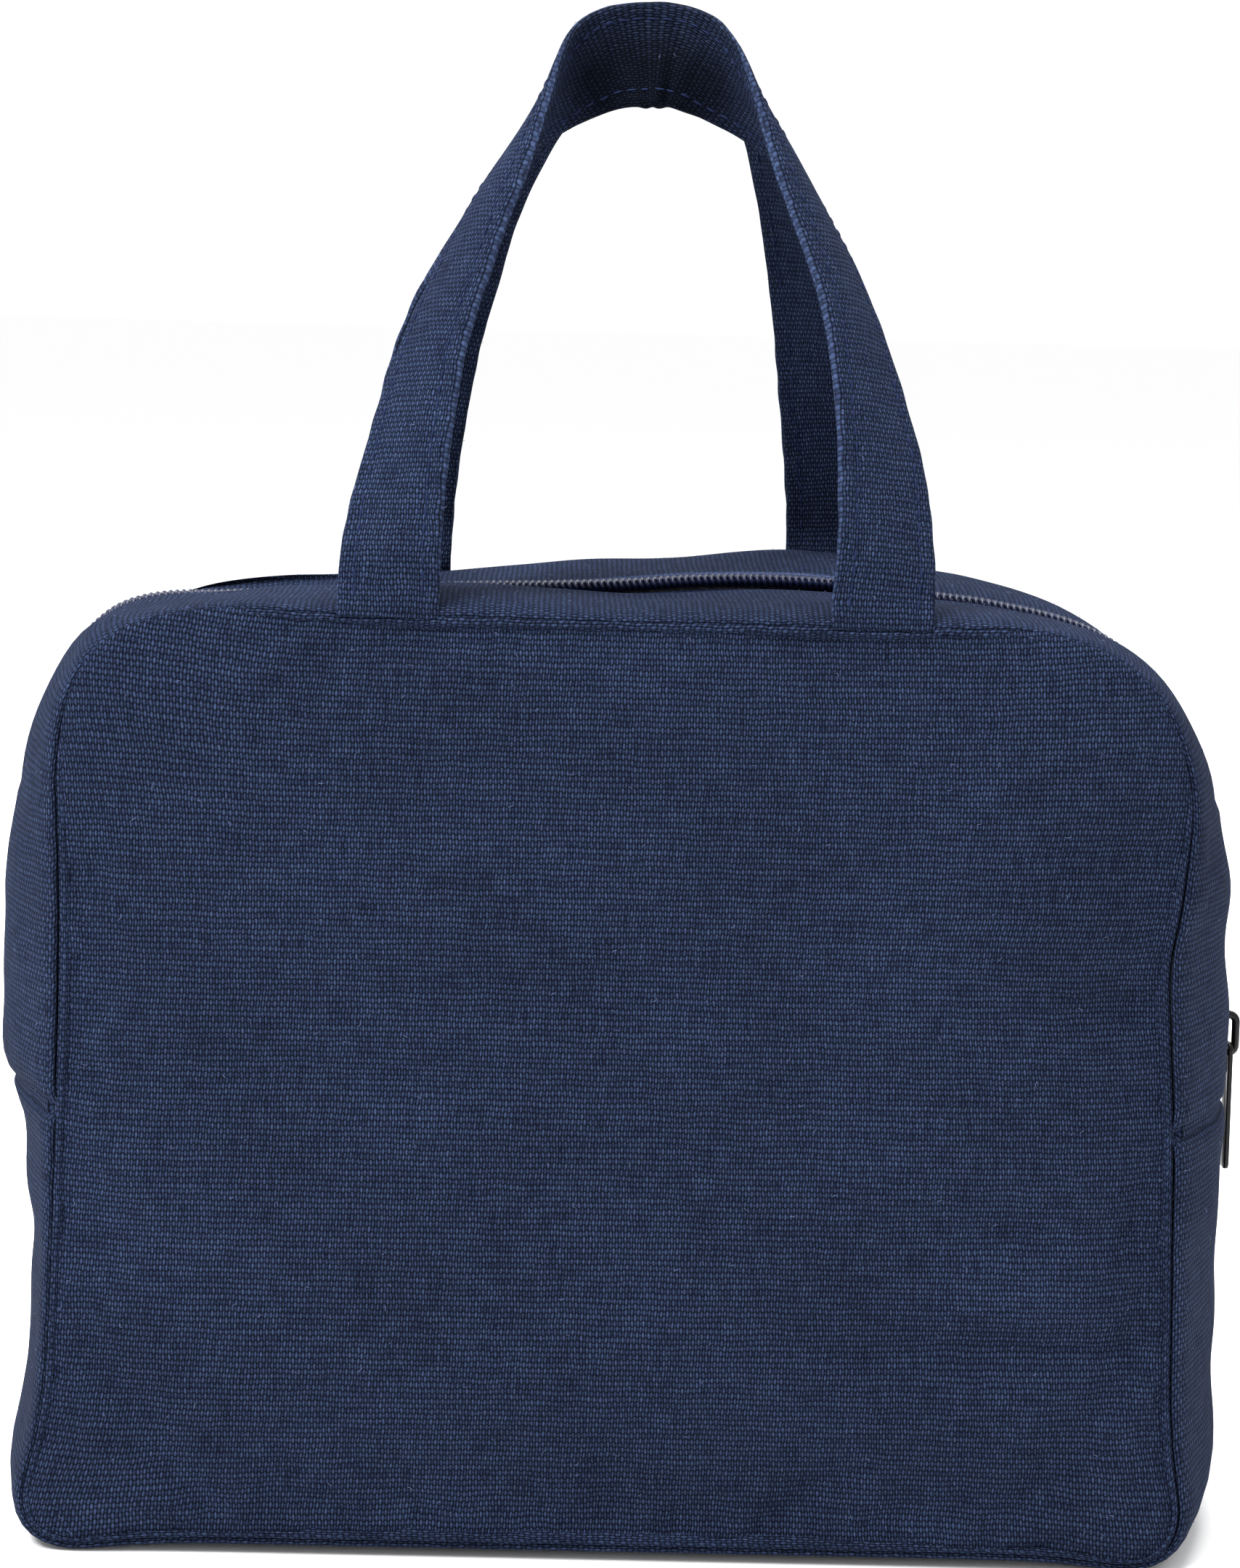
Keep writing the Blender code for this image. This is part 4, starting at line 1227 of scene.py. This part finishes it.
def buildHandle(side):
    w = closer(-1.0, 1.0, strap["columns"] + 1, "both")
    face, _, length = strapSurface(side, w, True)
    back, _, _ = strapSurface(side, w, False)
    v, u = np.meshgrid(length, w * strap["width"] / 2, indexing="ij")
    worn = np.broadcast_to(np.exp(-(((1 - np.abs(w)) / 0.03) ** 2)) * 0.15, face.shape[:2]).copy()
    climb = 1.0 - np.abs(np.linspace(-1.0, 1.0, len(length)))
    # painted shade for the inside of the grip: deepest at the middle of its lower edge
    aside = np.minimum(np.abs(length - length[-1] / 2) / (24 * mm), 1.0)[:, None]
    shade = 1.15 - 0.5 * ease((w[None, :] + 0.2) / 1.1) - 0.22 * aside**2
    gripPaintedShade = ease((climb - 0.66) / 0.16)[:, None] * shade
    laid = np.stack([u, v], -1)
    handle = gridSolid(side + "Handle", face, back, laid, strapCanvas, wear=worn, paintedShade=gripPaintedShade)
    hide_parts(side + "_handle")

    place = 1.0 - strap["stitchInset"] / (strap["width"] / 2)
    points = []
    outward = []
    breaks = []
    for outer in (True, False):
        lines, faceDir, _ = strapSurface(side, [-place, place], outer)
        for k in range(2):
            direction = faceDir if outer else -faceDir
            points.append(lines[1:-1, k] + direction[1:-1] * 0.12 * mm)
            outward.append(direction[1:-1])
            breaks.append(sum(len(p) for p in points) - 1)
    half = strap["stitchPitch"] * 0.34
    bow = [(-half, -0.16), (-half * 0.6, 0.02), (0, 0.06), (half * 0.6, 0.02), (half, -0.16)]
    radii = [0.12 * mm, 0.21 * mm, 0.23 * mm, 0.21 * mm, 0.12 * mm]
    thread = tubeMesh("stitchShape", [(a, 0, b * mm) for a, b in bow], radii, 5, False)
    stitches = runTree(
        side + "HandleStitches",
        pathMesh(np.concatenate(points), np.concatenate(outward), set(breaks)),
        rows,
        Piece=thread,
        Spacing=strap["stitchPitch"],
        Finish=threadMaterial,
    )
    bpy.data.objects.remove(thread)
    for piece in (handle, stitches):
        swingWith(piece)


for sideName in ("front", "rear"):
    buildHandle(sideName)
print("handles made")

# slider and pull

plates = {
    "bevel": 0.28 * mm,
    "thickness": 1.1 * mm,
    "bailWire": 0.85 * mm,
    "bailLength": 8.6 * mm,
    "upper": 1.55 * mm,  # the upper plate's middle, out from the zip's face
    "lower": 2.95 * mm,  # the lower plate's middle, in from it
}


def roundedOutline(corners, radius, steps=5):
    # a closed outline with each corner rounded
    found = []
    count = len(corners)
    for k, corner in enumerate(corners):
        here = Vector(corner)
        back = (Vector(corners[k - 1]) - here).normalized()
        ahead = (Vector(corners[(k + 1) % count]) - here).normalized()
        bend = back.angle(ahead)
        reach = radius / math.tan(bend / 2)
        centre = here + (back + ahead).normalized() * (radius / math.sin(bend / 2))
        first = here + back * reach - centre
        last = here + ahead * reach - centre
        for s in range(steps + 1):
            spot = first.lerp(last, s / steps).normalized() * radius
            found.append(tuple(centre + spot))
    return found


def plateMesh(outlines, thickness, bevel, place):
    # a flat plate facing +X with softened edges, from one or more outlines, the later ones holes
    curve = bpy.data.curves.new("plate", "CURVE")
    curve.dimensions = "2D"
    curve.fill_mode = "BOTH"
    curve.extrude = thickness / 2 - bevel
    curve.bevel_depth = bevel
    curve.bevel_resolution = 2
    curve.offset = -bevel
    for outline in outlines:
        spline = curve.splines.new("POLY")
        spline.points.add(len(outline) - 1)
        for point, spot in zip(spline.points, outline):
            point.co = (spot[0], spot[1], 0.0, 1.0)
        spline.use_cyclic_u = True
    carrier = bpy.data.objects.new("plate", curve)
    scene.collection.objects.link(carrier)
    bpy.context.view_layer.update()
    mesh = bpy.data.meshes.new_from_object(carrier.evaluated_get(bpy.context.evaluated_depsgraph_get()))
    bpy.data.objects.remove(carrier)
    shaped = bmesh.new()
    shaped.from_mesh(mesh)
    bmesh.ops.remove_doubles(shaped, verts=shaped.verts, dist=1e-6)
    for vert in shaped.verts:
        vert.co = (place[0] + vert.co.z, vert.co.x, place[1] + vert.co.y)
    bmesh.ops.recalc_face_normals(shaped, faces=shaped.faces)
    return shaped


def joinMeshes(name, pieces, material):
    joined = bmesh.new()
    for piece in pieces:
        holder = bpy.data.meshes.new("part")
        piece.to_mesh(holder)
        piece.free()
        joined.from_mesh(holder)
        bpy.data.meshes.remove(holder)
    mesh = bpy.data.meshes.new(name)
    joined.to_mesh(mesh)
    joined.free()
    mesh.shade_smooth()
    mesh.set_sharp_from_angle(angle=math.radians(40))
    mesh.materials.append(material)
    made = bpy.data.objects.new(name, mesh)
    scene.collection.objects.link(made)
    return made


def buildSlider():
    low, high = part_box("slider_body")
    centre = (low + high) / 2
    faceX = shell["halfWidth"] + zipRecess["level"]
    topX = faceX + plates["upper"]
    underX = faceX - plates["lower"]
    length = high.z - low.z
    half = length / 2
    wide, narrow = (high.y - low.y) / 2, (high.y - low.y) / 2 * 0.8
    shoulder = 0.4 * half
    lowerHalf = [(-wide, -half), (wide, -half), (wide, shoulder)]
    upperHalf = [(narrow, half), (-narrow, half), (-wide, shoulder)]
    outline = roundedOutline(lowerHalf + upperHalf, 1.5 * mm)
    pieces = []
    for x in (topX, underX):
        pieces.append(plateMesh([outline], plates["thickness"], plates["bevel"], (x, centre.z)))
    # the post that holds the plates apart at the wide end
    wide, low, top = 0.6 * mm, 0.6 * mm - half, -0.2 * half
    post = roundedOutline([(-wide, low), (wide, low), (wide, top), (-wide, top)], 0.45 * mm)
    pieces.append(plateMesh([post], topX - underX, 0.05 * mm, ((topX + underX) / 2, centre.z)))
    # the bail: a D-shaped loop of wire from the plate's upper end to its lower end
    crownX = high.x - plates["bailWire"]
    baseX = topX + plates["thickness"] / 2 - 0.2 * mm
    reach = plates["bailLength"] / 2
    bend = 1.5 * mm
    corners = [(baseX, reach), (crownX, reach - 0.6 * mm), (crownX, -reach + 0.6 * mm), (baseX, -reach)]
    corners = [Vector((*corner, 0)) for corner in corners]
    line = [corners[0]]
    for before, corner, after in zip(corners, corners[1:], corners[2:]):
        first = corner + (before - corner).normalized() * bend
        last = corner + (after - corner).normalized() * bend
        for s in range(7):
            t = s / 6
            line.append(first * (1 - t) ** 2 + corner * 2 * t * (1 - t) + last * t * t)
    line.append(corners[-1])
    route = [(p.x, 0, centre.z + p.y) for p in line]
    bail = tubeMesh("bail", route, [plates["bailWire"]] * len(line), 12, False)
    loop = bmesh.new()
    loop.from_mesh(bail.data)
    for vert in loop.verts:
        vert.co.y *= 1.25
    bpy.data.objects.remove(bail)
    pieces.append(loop)
    slider = joinMeshes("zipSlider", pieces, enamelMaterial)
    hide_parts("slider_body")
    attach(slider, "slider")


def buildPull():
    low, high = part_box("pull_tab")
    centre = (low + high) / 2
    half = (high.z - low.z) / 2
    wide = (high.y - low.y) / 2
    neck = wide * 0.82
    corners = [(-wide, -half), (wide, -half), (neck, half), (-neck, half)]
    outline = roundedOutline(corners, 1.6 * mm, steps=8)
    # the window that the bail passes through
    jamb, sill, head = 1.5 * mm, half - 6.1 * mm, half - 1.1 * mm
    window = roundedOutline([(-jamb, sill), (jamb, sill), (jamb, head), (-jamb, head)], 0.9 * mm)
    tab = plateMesh([outline, window], high.x - low.x, plates["bevel"], (centre.x, centre.z))
    pull = joinMeshes("pullTab", [tab], enamelMaterial)
    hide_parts("pull_tab")
    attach(pull, "pull")


buildSlider()
buildPull()
print("slider and pull made")

# loose fibres and lint

fibre = {
    "length": 1.1 * mm,
    "thickness": 0.035 * mm,
    # fibres per square metre of plain cloth and of worn cloth, and the seed
    "amounts": {
        "frontWall": (9000.0, 0.0, 11),
        "rearWall": (9000.0, 0.0, 12),
        "frontHandle": (6000.0, 90000.0, 13),
        "rearHandle": (6000.0, 90000.0, 14),
        "frontZipStrip": (9000.0, 120000.0, 15),
        "rearZipStrip": (9000.0, 120000.0, 16),
        "lowerGusset": (5000.0, 0.0, 17),
    },
}


def buildFibres():
    reach, thick = fibre["length"], fibre["thickness"]
    bend = [
        (-0.5, 0.0, -0.05),
        (-0.25, 0.12, 0.22),
        (0.0, 0.0, 0.32),
        (0.25, -0.14, 0.2),
        (0.42, -0.05, 0.02),
    ]
    shape = tubeMesh("fibreShape", [tuple(reach * c for c in p) for p in bend], [thick] * 5, 3, False)
    for source, (density, worn, seed) in fibre["amounts"].items():
        made = runTree(
            source + "Fibres",
            bpy.data.objects[source].data,
            scatter,
            Piece=shape,
            Density=density,
            Worn_Density=worn,
            Smallest=0.25,
            Largest=1.15,
            Seed=seed,
            Finish=lintMaterial,
        )
        if source.endswith("Handle"):
            swingWith(made)
        elif source == "lowerGusset":
            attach(made, "body")
        else:
            foldWith(made)
    bpy.data.objects.remove(shape)


buildFibres()
print("fibres made")

# floor, light and camera

studio = {
    "floor": "#fbfbfb",
    "world": 1.02,
    # name, place in metres, side in metres, power in watts
    "lights": [
        ("keySoftbox", (-0.6, -0.65, 1.2), 0.6, 34.0),
        ("fillSoftbox", (0.9, -0.8, 0.9), 0.9, 1.0),
        ("topSoftbox", (0.05, 0.35, 1.3), 0.9, 26.0),
    ],
}


def buildStudio():
    size = 40.0
    mesh = bpy.data.meshes.new("floor")
    corners = [(-size, -size, 0), (size, -size, 0), (size, size, 0), (-size, size, 0)]
    mesh.from_pydata(corners, [], [(0, 1, 2, 3)])
    floor = bpy.data.objects.new("floor", mesh)
    scene.collection.objects.link(floor)
    material, _, shader = newMaterial("paintedFloor", Roughness=0.9)
    shader.inputs["Base Color"].default_value = linear(studio["floor"])
    mesh.materials.append(material)
    world = bpy.data.worlds.new("studio")
    world.use_nodes = True
    world.node_tree.nodes["Background"].inputs["Color"].default_value = (1, 1, 1, 1)
    world.node_tree.nodes["Background"].inputs["Strength"].default_value = studio["world"]
    scene.world = world
    for name, place, side, power in studio["lights"]:
        lamp = bpy.data.lights.new(name, "AREA")
        lamp.size = side
        lamp.energy = power
        lit = bpy.data.objects.new(name, lamp)
        lit.location = place
        aim = Vector((0, 0, 0.13)) - Vector(place)
        lit.rotation_euler = aim.to_track_quat("-Z", "Y").to_euler()
        scene.collection.objects.link(lit)


view = {
    "place": (-14.3 * mm, -657 * mm, 234 * mm),
    "yaw": 1.07,
    "pitch": 4.55,
    "roll": 1.62,
    "lens": 75.2,
    "shift": -0.134,
}


def buildCamera():
    data = bpy.data.cameras.new("camera")
    data.lens = view["lens"]
    data.sensor_width = 36
    data.shift_y = view["shift"]
    data.clip_start = 0.01
    camera = bpy.data.objects.new("camera", data)
    scene.collection.objects.link(camera)
    turn = Matrix.Identity(4)
    for angle, axis in ((-view["yaw"], "Z"), (90 - view["pitch"], "X"), (view["roll"], "Z")):
        turn = turn @ Matrix.Rotation(math.radians(angle), 4, axis)
    camera.matrix_world = Matrix.Translation(view["place"]) @ turn
    scene.camera = camera


buildStudio()
buildCamera()
